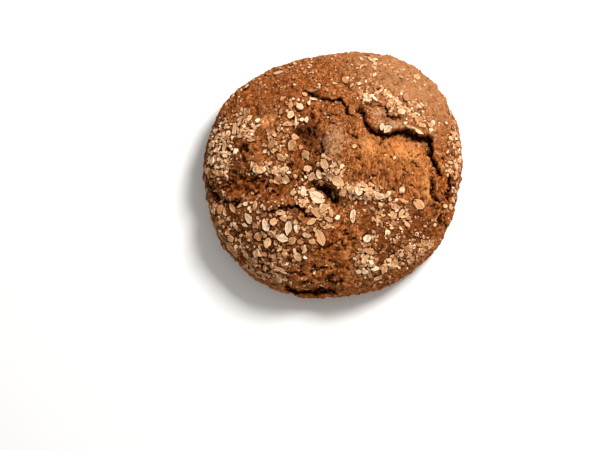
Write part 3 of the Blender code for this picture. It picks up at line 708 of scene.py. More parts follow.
strewing = {
    # grains of the coarse meal that stand out of the crust: inside the tears, and elsewhere
    "tornGrains": 1500,
    "crustGrains": 3000,
    "grainTears": (0.1, 0.7),  # a grain counts as inside them from a share of a burst between these
    "grainLengths": (0.0008, 0.0021),
    "grainAspect": (0.5, 0.95),
    "grainTop": {"middle": (2, 0), "half": (112, 106), "turn": 0},
    # the most striking flakes: x, y, length and width in millimetres, turn in degrees
    "known": (
        (-13, -25, 14.3, 10.3, -35), (-24, -20, 10.3, 5.5, 85), (-55, -47, 11.2, 6.4, -72),
        (-37, -50, 12.8, 5.6, 86), (-41, -58, 10.4, 6.4, -10), (-11, -57, 15.1, 8.0, -65),
        (-30, -72, 9.6, 7.2, -55), (-69, -41, 10.4, 6.4, -60), (-61, -56, 8.0, 7.2, 0),
        (16, -40, 11.9, 5.6, 88), (28, -58, 7.2, 6.4, 60), (70, -29, 11.4, 8.0, -40),
        (56, -18, 7.2, 4.8, 80), (57, -27, 10.4, 4.0, -20),
        (49, -39, 8.8, 6.4, 70), (55, -37, 8.0, 4.0, 70), (7, -22, 7.1, 6.3, 40), (20, -20, 8.7, 7.1, 80),
        (30, -20, 7.1, 5.6, 85), (4, -13, 11.1, 7.9, -30), (50, -78, 9.7, 4.9, 25), (37, -88, 9.0, 4.1, 25),
        (-28, 51, 8.0, 7.2, -40), (-35, 44, 7.2, 5.6, 60), (-45, 83, 9.0, 4.1, 5), (-35, 18, 11.1, 5.6, 86),
        (-22, 11, 9.5, 7.1, -50), (-7, 2, 9.5, 7.1, -60), (-99, 8, 8.1, 6.5, 70), (-72, 32, 7.2, 5.6, -20),
        (-60, -1, 8.8, 6.4, -30), (-21, -1, 7.9, 6.3, 20), (-18, -7, 8.7, 5.5, 70), (-25, -30, 7.9, 7.1, 80),
        (-7, -34, 11.9, 4.0, 42), (-4, -48, 7.9, 4.0, 25), (40, 33, 6.4, 5.6, 80), (44, 31, 7.9, 5.6, 55),
        (29, 57, 7.2, 5.6, -30), (56, 46, 7.2, 5.6, 20), (71, 40, 6.4, 5.6, 30), (-45, -9, 7.1, 5.6, 20),
        (-93, -32, 8.1, 6.5, 80), (-64, -31, 8.8, 4.0, 82), (-85, -56, 6.5, 5.7, -50),
        (-82, -33, 9.3, 4.2, -60), (-73, -46, 7.2, 3.4, -25), (-80, -47, 10.2, 3.0, -60),
        (-34, -60, 7.6, 6.0, 60), (-81, 34, 11.0, 4.2, 85), (-40, -2, 8.5, 5.1, 10),
        (-38, -10, 6.8, 6.0, -30), (-15, -38, 11.0, 5.1, -40), (-2, -37, 8.5, 3.8, -80),
        (-4, -43, 8.5, 4.2, -15), (26, -74, 7.6, 4.2, 65), (-68, -53, 6.0, 4.8, 80), (-92, -41, 6.0, 5.1, 80),
        (80, 36, 5.5, 4.7, 0), (-35, 52, 6.8, 4.2, 85),
    ),
    # those of them that are pale
    "pale": (
        (-13, -25), (16, -40), (-37, -50), (-41, -58), (40, 33), (44, 31), (56, -18), (28, -58),
        (-28, 51), (-35, 44), (-99, 8), (20, -20), (29, 57), (56, 46), (-24, -20), (-69, -41),
    ),
    # oval patches: how many flakes each has, and how many small bits
    "patches": (
        {"middle": (-62, -50), "half": (44, 26), "turn": -34, "count": 34, "small": 140},  # front left
        {"middle": (-38, -52), "half": (34, 16), "turn": -20, "count": 14, "small": 40},
        {"middle": (-66, -76), "half": (48, 9), "turn": -38, "count": 14, "small": 35},  # the rim there
        {"middle": (-98, 2), "half": (36, 12), "turn": 85, "count": 22, "small": 110},  # left
        {"middle": (-72, 37), "half": (15, 8), "turn": -75, "count": 8, "small": 110},
        {"middle": (-37, 47), "half": (10, 14), "turn": 20, "count": 6, "small": 20},  # back left
        {"middle": (-43, 18), "half": (15, 14), "turn": -20, "count": 10, "small": 45},
        {"middle": (-52, -6), "half": (18, 7), "turn": -25, "count": 9, "small": 90},
        {"middle": (-10, -2), "half": (19, 12), "turn": -15, "count": 12, "small": 110},  # the middle
        {"middle": (-18, -30), "half": (26, 9), "turn": -48, "count": 12, "small": 120},
        {"middle": (21, -20), "half": (25, 6), "turn": -4, "count": 12, "small": 120},
        {"middle": (44, -36), "half": (22, 12), "turn": -25, "count": 9, "small": 100},  # the front right
        {"middle": (27, -74), "half": (13, 9), "turn": -62, "count": 12, "small": 90},
        {"middle": (61, -70), "half": (25, 6), "turn": 28, "count": 12, "small": 170},
        {"middle": (101, 4), "half": (36, 7), "turn": 86, "count": 8, "small": 150},  # right
        {"middle": (56, 51), "half": (28, 9), "turn": -26, "count": 8, "small": 90},  # behind the torn flap
        {"middle": (0, 78), "half": (70, 18), "turn": 0, "count": 8, "small": 90},  # back
    ),
    # small bits alone
    "bitPatches": (
        {"middle": (-93, 21), "half": (24, 12), "turn": 78, "small": 60},  # the left lobe
        {"middle": (-40, -8), "half": (26, 8), "turn": -22, "small": 90},
        {"middle": (30, -19), "half": (20, 5), "turn": -3, "small": 60},
        {"middle": (-93, 10), "half": (24, 10), "turn": 80, "small": 60},
        {"middle": (-44, -78), "half": (13, 6), "turn": 80, "small": 60},
        {"middle": (52, -57), "half": (28, 12), "turn": 15, "small": 60},
        {"middle": (28, 59), "half": (7, 5), "turn": -30, "small": 45},
        {"middle": (49, 56), "half": (16, 4), "turn": -56, "small": 110},  # beside the flap's crack
        {"middle": (72, 42), "half": (18, 6), "turn": -35, "small": 60},
    ),
    # the palest scraps: x, y, length and width in millimetres, turn in degrees
    "bright": (
        (-15, 58, 7.6, 3.4, 10), (-20, 54, 6.0, 2.5, 80), (-31, 38, 10.2, 1.9, 88), (-22, 40, 4.7, 3.2, 80),
        (-26, 40, 3.7, 3.6, 0), (31, -77, 5.5, 4.2, 60), (26, -84, 4.7, 4.2, 0), (34, -81, 6.4, 3.8, -10),
        (21, -84, 4.2, 3.8, 0), (-31, -49, 6.8, 3.0, 85), (-80, 15, 4.7, 4.2, 20), (3, -41, 4.2, 4.2, 30),
        (70, 31, 9.0, 2.8, -38), (63, 34, 6.0, 2.2, -20), (31, 59, 5.0, 4.0, 20), (34, 57, 6.0, 2.0, -50),
        (27, 61, 4.0, 3.0, 70), (-63, -2, 6.0, 4.6, -30), (-72, -29, 4.0, 3.6, 10), (-69, -33, 3.4, 3.0, 40),
        (-62, 40, 4.4, 3.2, 30), (-66, 36, 4.0, 3.0, 70), (-78, 38, 3.6, 2.6, 10), (-70, 41, 3.4, 2.4, 50),
        (-67, 31, 3.8, 2.2, -20), (-73, 35, 3.0, 2.2, 80), (-61, 35, 3.6, 2.0, 15), (-76, 30, 3.2, 2.4, -50),
        (-71, 27, 3.0, 2.0, 30), (46, 33, 3.0, 2.6, 0), (59, 37, 3.0, 2.4, 20),
    ),
    # flakes that lie along the steep side, round the front left
    "rimTurns": (188, 244),
    "rimHeights": (0.028, 0.050),
    "rimCount": 75,
    "rimLengths": (0.0048, 0.0092),
    "rimWidths": (0.0011, 0.0023),
    "rimSpread": 22,  # degrees that they turn away from lying along it
    "rimSeed": 81,
    # the other flakes, and those of them that lie round the sides
    "sideCount": 90,
    "sideHeights": (0.006, 0.040),
    "lengths": (0.0036, 0.0098),
    "skew": 1.5,  # above 1, small flakes outnumber large ones
    "aspect": (0.42, 0.78),
    "spacing": 0.0021,  # between two flakes' middles, beside a quarter of their lengths
    "tries": 12,  # places tried for each flake of a patch
    "rimShare": 0.97,  # a patch stops at this share of the outline's radius
    "bareFrom": 0.6,  # the share of a burst's middle from which its crumb stays bare
    "tearsFrom": 0.3,  # the share of a tear's depth from which it stays clear
    "seed": 11,
    # the small bits: those round the sides, those over the whole top, and the specks over it
    "sideSmall": 320,
    "smallHeights": (0.005, 0.052),
    "smallLengths": (0.0016, 0.0044),
    "smallSkew": 1.7,
    "smallAspect": (0.45, 0.95),
    "smallTears": (0.1, 1.4),  # a bit is left out from a share of a burst between these
    "everywhere": 110,
    "wholeTop": {"middle": (0, 0), "half": (106, 100), "turn": 0},
    "crumbs": 1500,
    "crumbLengths": (0.0009, 0.0020),
    "crumbTears": (0, 1.1),
    "crumbTop": {"middle": (0, 0), "half": (110, 104), "turn": 0},
    "smallSeed": 61,
    "grainSeed": 71,
}

# where a piece lies, with a height on the sides and none on the top, its length and width, and its turn
Lying = namedtuple("Lying", "x y height length width turn")


def fromTop(rows):
    # pieces on the top, from rows in millimetres and degrees
    return [Lying(x * mm, y * mm, None, length * mm, width * mm, turn) for x, y, length, width, turn in rows]


def beside(angle):
    # a place just clear of the loaf's side, from which a piece is laid against it
    radius = outlineRadius(angle) + strewing["lengths"][1]
    return radius * math.cos(angle), radius * math.sin(angle)


def tornAt(x, y):
    return tornShare(np.array([[x, y]]))[0]


def addFlake(flakes, draw, x, y, height):
    # adds a flake of a random size, unless it would crowd another
    shortest, longest = strewing["lengths"]
    length = shortest + (longest - shortest) * draw.random() ** strewing["skew"]
    width = length * draw.uniform(*strewing["aspect"])
    turn = draw.uniform(0, 180)
    for other in flakes:
        if (height is None) != (other.height is None):
            continue
        rise = 0 if height is None else height - other.height
        nearest = strewing["spacing"] + 0.25 * (length + other.length)
        if math.hypot(x - other.x, y - other.y, rise) < nearest:
            return 0
    flakes.append(Lying(x, y, height, length, width, turn))
    return 1


def inPatch(draw, patch):
    # a random place in an oval patch, and whether it is on the loaf's top
    turn = math.radians(patch["turn"])
    across, angle = math.sqrt(draw.random()), draw.uniform(0, math.tau)
    along = patch["half"][0] * across * math.cos(angle)
    aside = patch["half"][1] * across * math.sin(angle)
    x = (patch["middle"][0] + along * math.cos(turn) - aside * math.sin(turn)) * mm
    y = (patch["middle"][1] + along * math.sin(turn) + aside * math.cos(turn)) * mm
    return x, y, math.hypot(x, y) <= strewing["rimShare"] * outlineRadius(math.atan2(y, x))


def strewnFlakes():
    # the solid's flakes come first, by the same rule and the same draws
    flakes = fromTop(strewing["known"])
    for number, patch in enumerate(strewing["patches"]):
        draw = random.Random(strewing["seed"] + number)
        placed = 0
        for _ in range(patch["count"] * strewing["tries"]):
            x, y, onTop = inPatch(draw, patch)
            bare = max(inside(np.array([[x, y]]), burst)[0] for burst in loafForm["bursts"])
            if not onTop or bare > strewing["bareFrom"]:
                continue
            placed += addFlake(flakes, draw, x, y, None)
            if placed == patch["count"]:
                break
    draw = random.Random(strewing["seed"] + len(strewing["patches"]))
    for _ in range(strewing["sideCount"]):
        angle, height = draw.uniform(0, math.tau), draw.uniform(*strewing["sideHeights"])
        addFlake(flakes, draw, *beside(angle), height)
    return flakes


def rimFlakes():
    draw = random.Random(strewing["rimSeed"])
    flakes = []
    for _ in range(strewing["rimCount"]):
        angle = math.radians(draw.uniform(*strewing["rimTurns"]))
        height, length = draw.uniform(*strewing["rimHeights"]), draw.uniform(*strewing["rimLengths"])
        turn = math.degrees(angle) + 90 + draw.uniform(-strewing["rimSpread"], strewing["rimSpread"])
        flakes.append(Lying(*beside(angle), height, length, draw.uniform(*strewing["rimWidths"]), turn))
    return flakes


def strewnBits():
    draw = random.Random(strewing["smallSeed"])
    bits = []

    def addBit(x, y, height, lengths=strewing["smallLengths"]):
        length = lengths[0] + (lengths[1] - lengths[0]) * draw.random() ** strewing["smallSkew"]
        width = length * draw.uniform(*strewing["smallAspect"])
        bits.append(Lying(x, y, height, length, width, draw.uniform(0, 360)))

    for patch in strewing["patches"] + strewing["bitPatches"]:
        for _ in range(patch["small"]):
            x, y, onTop = inPatch(draw, patch)
            if onTop and tornAt(x, y) < draw.uniform(*strewing["smallTears"]):
                addBit(x, y, None)
    for _ in range(strewing["everywhere"]):
        x, y, onTop = inPatch(draw, strewing["wholeTop"])
        if onTop:
            addBit(x, y, None)
    for _ in range(strewing["crumbs"]):
        x, y, onTop = inPatch(draw, strewing["crumbTop"])
        if onTop and tornAt(x, y) < draw.uniform(*strewing["crumbTears"]):
            addBit(x, y, None, strewing["crumbLengths"])
    for _ in range(strewing["sideSmall"]):
        angle, height = draw.uniform(0, math.tau), draw.uniform(*strewing["smallHeights"])
        addBit(*beside(angle), height)
    return bits


def strewnGrains():
    draw = random.Random(strewing["grainSeed"])
    grains = []
    for inTears, count in ((True, strewing["tornGrains"]), (False, strewing["crustGrains"])):
        while count:
            x, y, onTop = inPatch(draw, strewing["grainTop"])
            isTorn = onTop and tornAt(x, y) > draw.uniform(*strewing["grainTears"])
            if not onTop or isTorn != inTears:
                continue
            count -= 1
            length = draw.uniform(*strewing["grainLengths"])
            width = length * draw.uniform(*strewing["grainAspect"])
            grains.append(Lying(x, y, None, length, width, draw.uniform(0, 360)))
    return grains


# the shapes of the flakes, each modelled once and copied

flakeShapes = {
    "rolledKinds": 12,
    "rolledThickness": 0.15,  # against its length
    "ragged": 0.030,  # how uneven its rim is
    "notch": (0.05, 0.28),  # how deep the notch in its rim is
    "notchBreadth": 0.35,
    "pointed": (0.0, 0.5),  # how much narrower a flake is at its ends
    "lopsided": 0.22,
    "dish": (-0.3, 0.4),  # how much a flake's rim stands up, or hangs down
    "crease": 0.060,  # the depth of its groove
    "creaseBreadth": 0.12,
    "curl": (8, 50),  # degrees, from the flattest kind to the most curled
    "flatKinds": 5,  # those that lie on the steep side
    "bitKinds": 6,
    "bitSides": (5, 6, 7),
    "bitThickness": 0.24,
    "bitRagged": 0.16,
    "grainKinds": 5,
    "grainRagged": 0.13,
    "seed": 3,
}


def jumble(offset, seed, flatten=None):
    # moves each point of the shape just added a little at random, flattening it first where asked
    bpy.ops.object.mode_set(mode="EDIT")
    bpy.ops.mesh.select_all(action="SELECT")
    if flatten:
        bpy.ops.transform.resize(value=(1, 1, flatten))
    bpy.ops.transform.vertex_random(offset=offset, uniform=1, normal=0, seed=seed)
    bpy.ops.object.mode_set(mode="OBJECT")


def modelFlake(number, draw):
    # a flattened groat: an oval disc 1 long with a groove along it, a ragged rim and a slight curl
    flake = addPrimitive(
        bpy.ops.mesh.primitive_uv_sphere_add, f"flakeShape{number}", segments=14, ring_count=5, radius=0.5
    )
    jumble(flakeShapes["ragged"], number + 1, flatten=flakeShapes["rolledThickness"])
    points = pointsOf(flake)
    ahead = np.arctan2(points[:, 1], points[:, 0])
    aside = np.angle(np.exp(1j * (ahead - draw.uniform(0, math.tau))))
    notch = np.exp(-((aside / flakeShapes["notchBreadth"]) ** 2)) * draw.uniform(*flakeShapes["notch"])
    level = np.hypot(points[:, 0], points[:, 1])
    points[:, :2] *= (1 - notch * eased(2 * level))[:, None]
    points[:, 1] *= 1 - draw.uniform(*flakeShapes["pointed"]) * (2 * points[:, 0]) ** 2
    points[:, 1] *= 1 + draw.uniform(-1, 1) * flakeShapes["lopsided"] * 2 * points[:, 0]
    half = 0.5 * flakeShapes["rolledThickness"]
    points[:, 2] = half * np.sign(points[:, 2]) * (np.abs(points[:, 2]) / half).clip(0, 1) ** 0.5
    points[:, 2] += draw.uniform(*flakeShapes["dish"]) * level**2
    lengthways = np.exp(-((points[:, 1] / flakeShapes["creaseBreadth"]) ** 2))
    groove = flakeShapes["crease"] * lengthways * (1 - 2 * level).clip(0)
    points[:, 2] -= groove * np.sign(points[:, 2])
    setPoints(flake, points)
    low, high = flakeShapes["curl"]
    applyModifier(
        flake, "SIMPLE_DEFORM", deform_method="BEND", deform_axis=draw.choice("XY"),
        angle=math.radians(low + (high - low) * number / flakeShapes["rolledKinds"]),
    )
    return flake


def modelBit(number, draw):
    # a broken scrap of a flake, angular and flat
    bit = addPrimitive(
        bpy.ops.mesh.primitive_cylinder_add, f"bitShape{number}",
        vertices=draw.choice(flakeShapes["bitSides"]), radius=0.5, depth=flakeShapes["bitThickness"],
        end_fill_type="NGON",
    )
    jumble(flakeShapes["bitRagged"], number + 30)
    return bit


def modelGrain(number):
    # a rough grain of meal
    grain = addPrimitive(
        bpy.ops.mesh.primitive_ico_sphere_add, f"grainShape{number}", subdivisions=1, radius=0.5
    )
    jumble(flakeShapes["grainRagged"], number + 60)
    return grain


# how the pieces lie on the crust

laying = {
    "feelers": 6,  # points that are felt round the middle of each piece
    "feelerReach": 0.3,  # how far out, against its length
    "feelerRise": 6,  # they start this many millimetres above it
    "feelerDrop": 2,  # and one that lands further down than this is past an edge
    "bedding": 0.45,  # a piece rests this far up the highest of them
    # how far the pieces tip, in degrees, how far they stand off, in millimetres, and their thickness. On a
    # steep side they don't tip or stand off, and have the share of it that "steep" gives
    "flakes": {"tip": 7, "rise": 0.3, "thickness": (0.008, 0.012), "steep": 0.6, "tones": (0.12, 0.92)},
    "bits": {"tip": 15, "rise": 0.15, "thickness": (0.0022, 0.0044), "steep": 0.5, "tones": (0, 0.95)},
    "bright": {"tip": (0, 12), "rise": 0.4, "thickness": 0.005, "tones": (0.86, 1)},
    "grains": {"tip": (0, 40), "sunk": 0.16, "hollow": -0.25},
    "flatKindsTo": 0.7,  # the flat kinds are for crust steeper than this
    "levelTone": (0.7, 0.3),  # the part of a flake's tone that it has anywhere, and what level crust adds
    "paleTone": 0.9,
    # where the pieces are made the palest, as painted light: the ridge through the middle and the left lobe
    "palest": (
        {"middle": (0, -17), "half": (62, 26), "turn": -16},
        {"middle": (-90, 24), "half": (22, 32), "turn": 10},
    ),
    "palestBy": 0.6,
    "sharpest": 50,  # degrees between two faces that are still smooth
}

# one copy of a shape: which shape, where it goes, its tone, and its size along each axis
Copy = namedtuple("Copy", "kind matrix tone sizes")


def joinCopies(name, kinds, copies, sharpest=laying["sharpest"]):
    # one mesh of many copies, which keeps each one's tone and its own coordinates for the materials
    count, pointSets, faceSets, toneSets, spotSets = 0, [], [], [], []
    for kind, shape in enumerate(kinds):
        placed = [copy for copy in copies if copy.kind == kind]
        if not placed:
            continue
        local = pointsOf(shape)
        matrices = np.array([copy.matrix for copy in placed])
        sizes = np.array([copy.sizes for copy in placed])
        grown = local[None] * sizes[:, None]
        points = np.einsum("kij,knj->kni", matrices[:, :3, :3], grown) + matrices[:, None, :3, 3]
        faces = [tuple(face.vertices) for face in shape.data.polygons]
        for number in range(len(placed)):
            first = count + number * len(local)
            faceSets.extend(tuple(corner + first for corner in face) for face in faces)
        count += len(placed) * len(local)
        pointSets.append(points.reshape(-1, 3))
        toneSets.append(np.repeat([copy.tone for copy in placed], len(local)))
        spotSets.append(np.tile(local, (len(placed), 1)))
    mesh = bpy.data.meshes.new(name)
    mesh.from_pydata(np.vstack(pointSets), [], faceSets)
    mesh.update()
    joined = bpy.data.objects.new(name, mesh)
    bpy.context.scene.collection.objects.link(joined)
    spots = np.vstack(spotSets)
    keepValue(joined, "tone", np.concatenate(toneSets))
    keepValue(joined, "lengthways", spots[:, 0])
    keepValue(joined, "crossways", spots[:, 1])
    mesh.shade_smooth()
    mesh.set_sharp_from_angle(angle=math.radians(sharpest))
    return joined


def surfaceOf(loaf):
    faces = [tuple(face.vertices) for face in loaf.data.polygons]
    return BVHTree.FromPolygons([Vector(point) for point in pointsOf(loaf)], faces)


def seatOf(piece):
    # the point and direction that a piece rests on, from a few points under it
    x, y = np.array(piece[:2]) - footprintOffset
    if piece.height is None:
        start, way = Vector((x, y, 2 * loafForm["height"])), Vector((0, 0, -1))
    else:
        start, way = Vector((x, y, piece.height)), Vector((-x, -y, 0)).normalized()
    point, normal, _, _ = surface.ray_cast(start, way)
    if point is None:
        return None
    spread = laying["feelerReach"] * piece.length
    touched, facing = [point], normal.copy()
    side = normal.orthogonal().normalized()
    other = normal.cross(side)
    for turn in range(laying["feelers"]):
        angle = turn * math.tau / laying["feelers"]
        step = spread * (math.cos(angle) * side + math.sin(angle) * other)
        hit, hitNormal, _, _ = surface.ray_cast(point + step - laying["feelerRise"] * mm * way, way)
        if hit is not None and (hit - point).length < spread + laying["feelerDrop"] * mm:
            touched.append(hit)
            facing += hitNormal
    facing.normalize()
    middle = sum(touched, Vector()) / len(touched)
    high = max((hit - middle).dot(facing) for hit in touched)
    return middle + laying["bedding"] * high * facing, facing


def seated(pieces, everywhere=False):
    # each piece with its seat. In the tears there are none, save flakes strewn from above
    seats = [seatOf(piece) for piece in pieces]
    places = np.array([seat[0][:2] if seat else (0, 0) for seat in seats]) + footprintOffset
    deep = raisedBy(places)[3]
    return [
        (piece, *seat) for piece, seat, share in zip(pieces, seats, deep)
        if seat and (share < strewing["tearsFrom"] or piece.height is None and not everywhere)
    ]


def toneAt(draw, tones, piece):
    # pieces in the palest patches are made paler, as painted light
    pale = max(inside(np.array([piece[:2]]), patch)[0] for patch in laying["palest"])
    return tones[0] + (tones[1] - tones[0]) * draw.random() ** (1 - laying["palestBy"] * pale)


def placing(point, facing, turn, tip, draw):
    # stands a shape's Z along the facing direction, turned and tipped
    tilt = facing.to_track_quat("Z", "Y").to_matrix()
    across = tilt @ Vector((1, 0, 0))
    spin = Matrix.Rotation(math.radians(turn) - math.atan2(across.y, across.x), 3, "Z")
    lean = Matrix.Rotation(math.radians(tip), 3, Vector((draw.gauss(0, 1), draw.gauss(0, 1), 0)).normalized())
    matrix = (tilt @ spin @ lean).to_4x4()
    matrix.translation = point
    return matrix


def laid(piece, point, facing, way, draw):
    # how level a piece lies, its placing and its thickness
    level = max(0.0, facing.z)
    tip = abs(draw.gauss(0, way["tip"])) * level
    matrix = placing(point + way["rise"] * mm * level * facing, facing, piece.turn, tip, draw)
    thick = draw.uniform(*way["thickness"]) * (way["steep"] + (1 - way["steep"]) * level)
    return level, matrix, thick


footprintOffset = footprintMiddle()
surface = surfaceOf(crust)
draw = random.Random(flakeShapes["seed"])
rolledKinds = [modelFlake(number, draw) for number in range(flakeShapes["rolledKinds"])]
bitKinds = [modelBit(number, draw) for number in range(flakeShapes["bitKinds"])]

flakeCopies = []
for flake, point, facing in seated(strewnFlakes() + rimFlakes()):
    level, matrix, thick = laid(flake, point, facing, laying["flakes"], draw)
    kind = draw.randrange(flakeShapes["rolledKinds" if level > laying["flatKindsTo"] else "flatKinds"])
    anywhere, added = laying["levelTone"]
    tone = toneAt(draw, laying["flakes"]["tones"], flake) * (anywhere + added * level)
    if (round(flake.x / mm), round(flake.y / mm)) in strewing["pale"]:
        tone = laying["paleTone"]
    flakeCopies.append(Copy(kind, matrix, tone, (flake.length, flake.width, thick)))
rolledFlakes = joinCopies("rolledFlakes", rolledKinds, flakeCopies)
print("rolled flakes:", len(flakeCopies))

bitCopies = []
for bit, point, facing in seated(strewnBits(), everywhere=True):
    _, matrix, thick = laid(bit, point, facing, laying["bits"], draw)
    kind = draw.randrange(len(bitKinds))
    tone = toneAt(draw, laying["bits"]["tones"], bit)
    bitCopies.append(Copy(kind, matrix, tone, (bit.length, bit.width, thick)))
bright = laying["bright"]
for bit in fromTop(strewing["bright"]):
    point, facing = seatOf(bit)
    tip = draw.uniform(*bright["tip"])
    matrix = placing(point + bright["rise"] * mm * facing, facing, bit.turn, tip, draw)
    kind, tone = draw.randrange(len(bitKinds)), draw.uniform(*bright["tones"])
    bitCopies.append(Copy(kind, matrix, tone, (bit.length, bit.width, bright["thickness"])))
flakeBits = joinCopies("flakeBits", bitKinds, bitCopies)
print("small bits:", len(bitCopies))

grainKinds = [modelGrain(number) for number in range(flakeShapes["grainKinds"])]
grainCopies = []
for grain, point, facing in seated(strewnGrains()):
    tip = draw.uniform(*laying["grains"]["tip"])
    sunk = point - laying["grains"]["sunk"] * grain.length * facing
    matrix = placing(sunk, facing, grain.turn, tip, draw)
    kind, tone = draw.randrange(len(grainKinds)), draw.random()
    grainCopies.append(Copy(kind, matrix, tone, (grain.length, grain.width, grain.width)))
crustGrains = joinCopies("crustGrains", grainKinds, grainCopies, sharpest=180)
grainPoints = pointsOf(crustGrains)
keepValue(crustGrains, "torn", tornShare(grainPoints[:, :2] + footprintOffset))
keepValue(crustGrains, "hollow", np.full(len(grainPoints), laying["grains"]["hollow"]))
keepValue(crustGrains, "deep", np.zeros(len(grainPoints)))
print("grains of meal:", len(grainCopies))


# the shadow that the flakes cast on the crust beside them, painted into its colour

flakeShade = {
    "shift": (-0.35, -0.40, 0),  # away from the light, in millimetres as all of these are
    "reach": 1.0,  # how far it fades out from a flake's edge
    "smallest": 2.4,  # pieces shorter than this cast none
}


def paintedFlakeShadow(loaf, copies):
    # where the flakes' shadow is painted: 1 under the flakes and on their side away from the light, falling
    # to 0 at some reach from their edges
    points = pointsOf(loaf)
    shift = np.array(flakeShade["shift"]) * mm
    reach = flakeShade["reach"] * mm
    order = np.argsort(points[:, 0])
    sortedX = points[order, 0]
    close = np.zeros(len(points))
    for copy in copies:
        length, width, _ = copy.sizes
        middle = np.array(copy.matrix.translation) + shift
        extent = 0.5 * length + 2 * reach
        first, last = np.searchsorted(sortedX, (middle[0] - extent, middle[0] + extent))
        near = order[first:last]
        near = near[np.abs(points[near] - middle).max(axis=1) < extent]
        local = (points[near] - middle) @ np.array(copy.matrix.to_3x3())
        share = np.hypot(local[:, 0] / (0.5 * length), local[:, 1] / (0.5 * width))
        outside = (share - 1).clip(0) * 0.25 * (length + width)
        close[near] = np.maximum(close[near], np.exp(-((outside / reach) ** 2)))
    return close


shading = [copy for copy in flakeCopies + bitCopies if copy.sizes[0] > flakeShade["smallest"] * mm]
keepValue(crust, "close", paintedFlakeShadow(crust, shading))
keepValue(crustGrains, "close", np.zeros(len(grainPoints)))
for shape in rolledKinds + bitKinds + grainKinds:
    bpy.data.objects.remove(shape)
for piece in (rolledFlakes, flakeBits):
    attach(piece, "root")
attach(crustGrains, "root")


# materials

def tint(red, green, blue):
    # a colour given in screen values, as the shader wants it
    picked = [channel / 255 for channel in (red, green, blue)]
    return tuple(
        channel / 12.92 if channel <= 0.04045 else ((channel + 0.055) / 1.055) ** 2.4 for channel in picked
    ) + (1.0,)


class Wire:
    # a socket that Python's own operators work on
    def __init__(self, finish, socket):
        self.finish = finish
        self.socket = socket

    def reckon(self, operation, first, second):
        return self.finish.add("ShaderNodeMath", {"operation": operation}, {0: first, 1: second})

    def __add__(self, other):
        return self.reckon("ADD", self, other)

    def __radd__(self, other):
        return self.reckon("ADD", other, self)

    def __sub__(self, other):
        return self.reckon("SUBTRACT", self, other)

    def __rsub__(self, other):
        return self.reckon("SUBTRACT", other, self)

    def __mul__(self, other):
        return self.reckon("MULTIPLY", self, other)

    def __rmul__(self, other):
        return self.reckon("MULTIPLY", other, self)

    def __truediv__(self, other):
        return self.reckon("DIVIDE", self, other)

    def __pow__(self, other):
        return self.reckon("POWER", self, other)


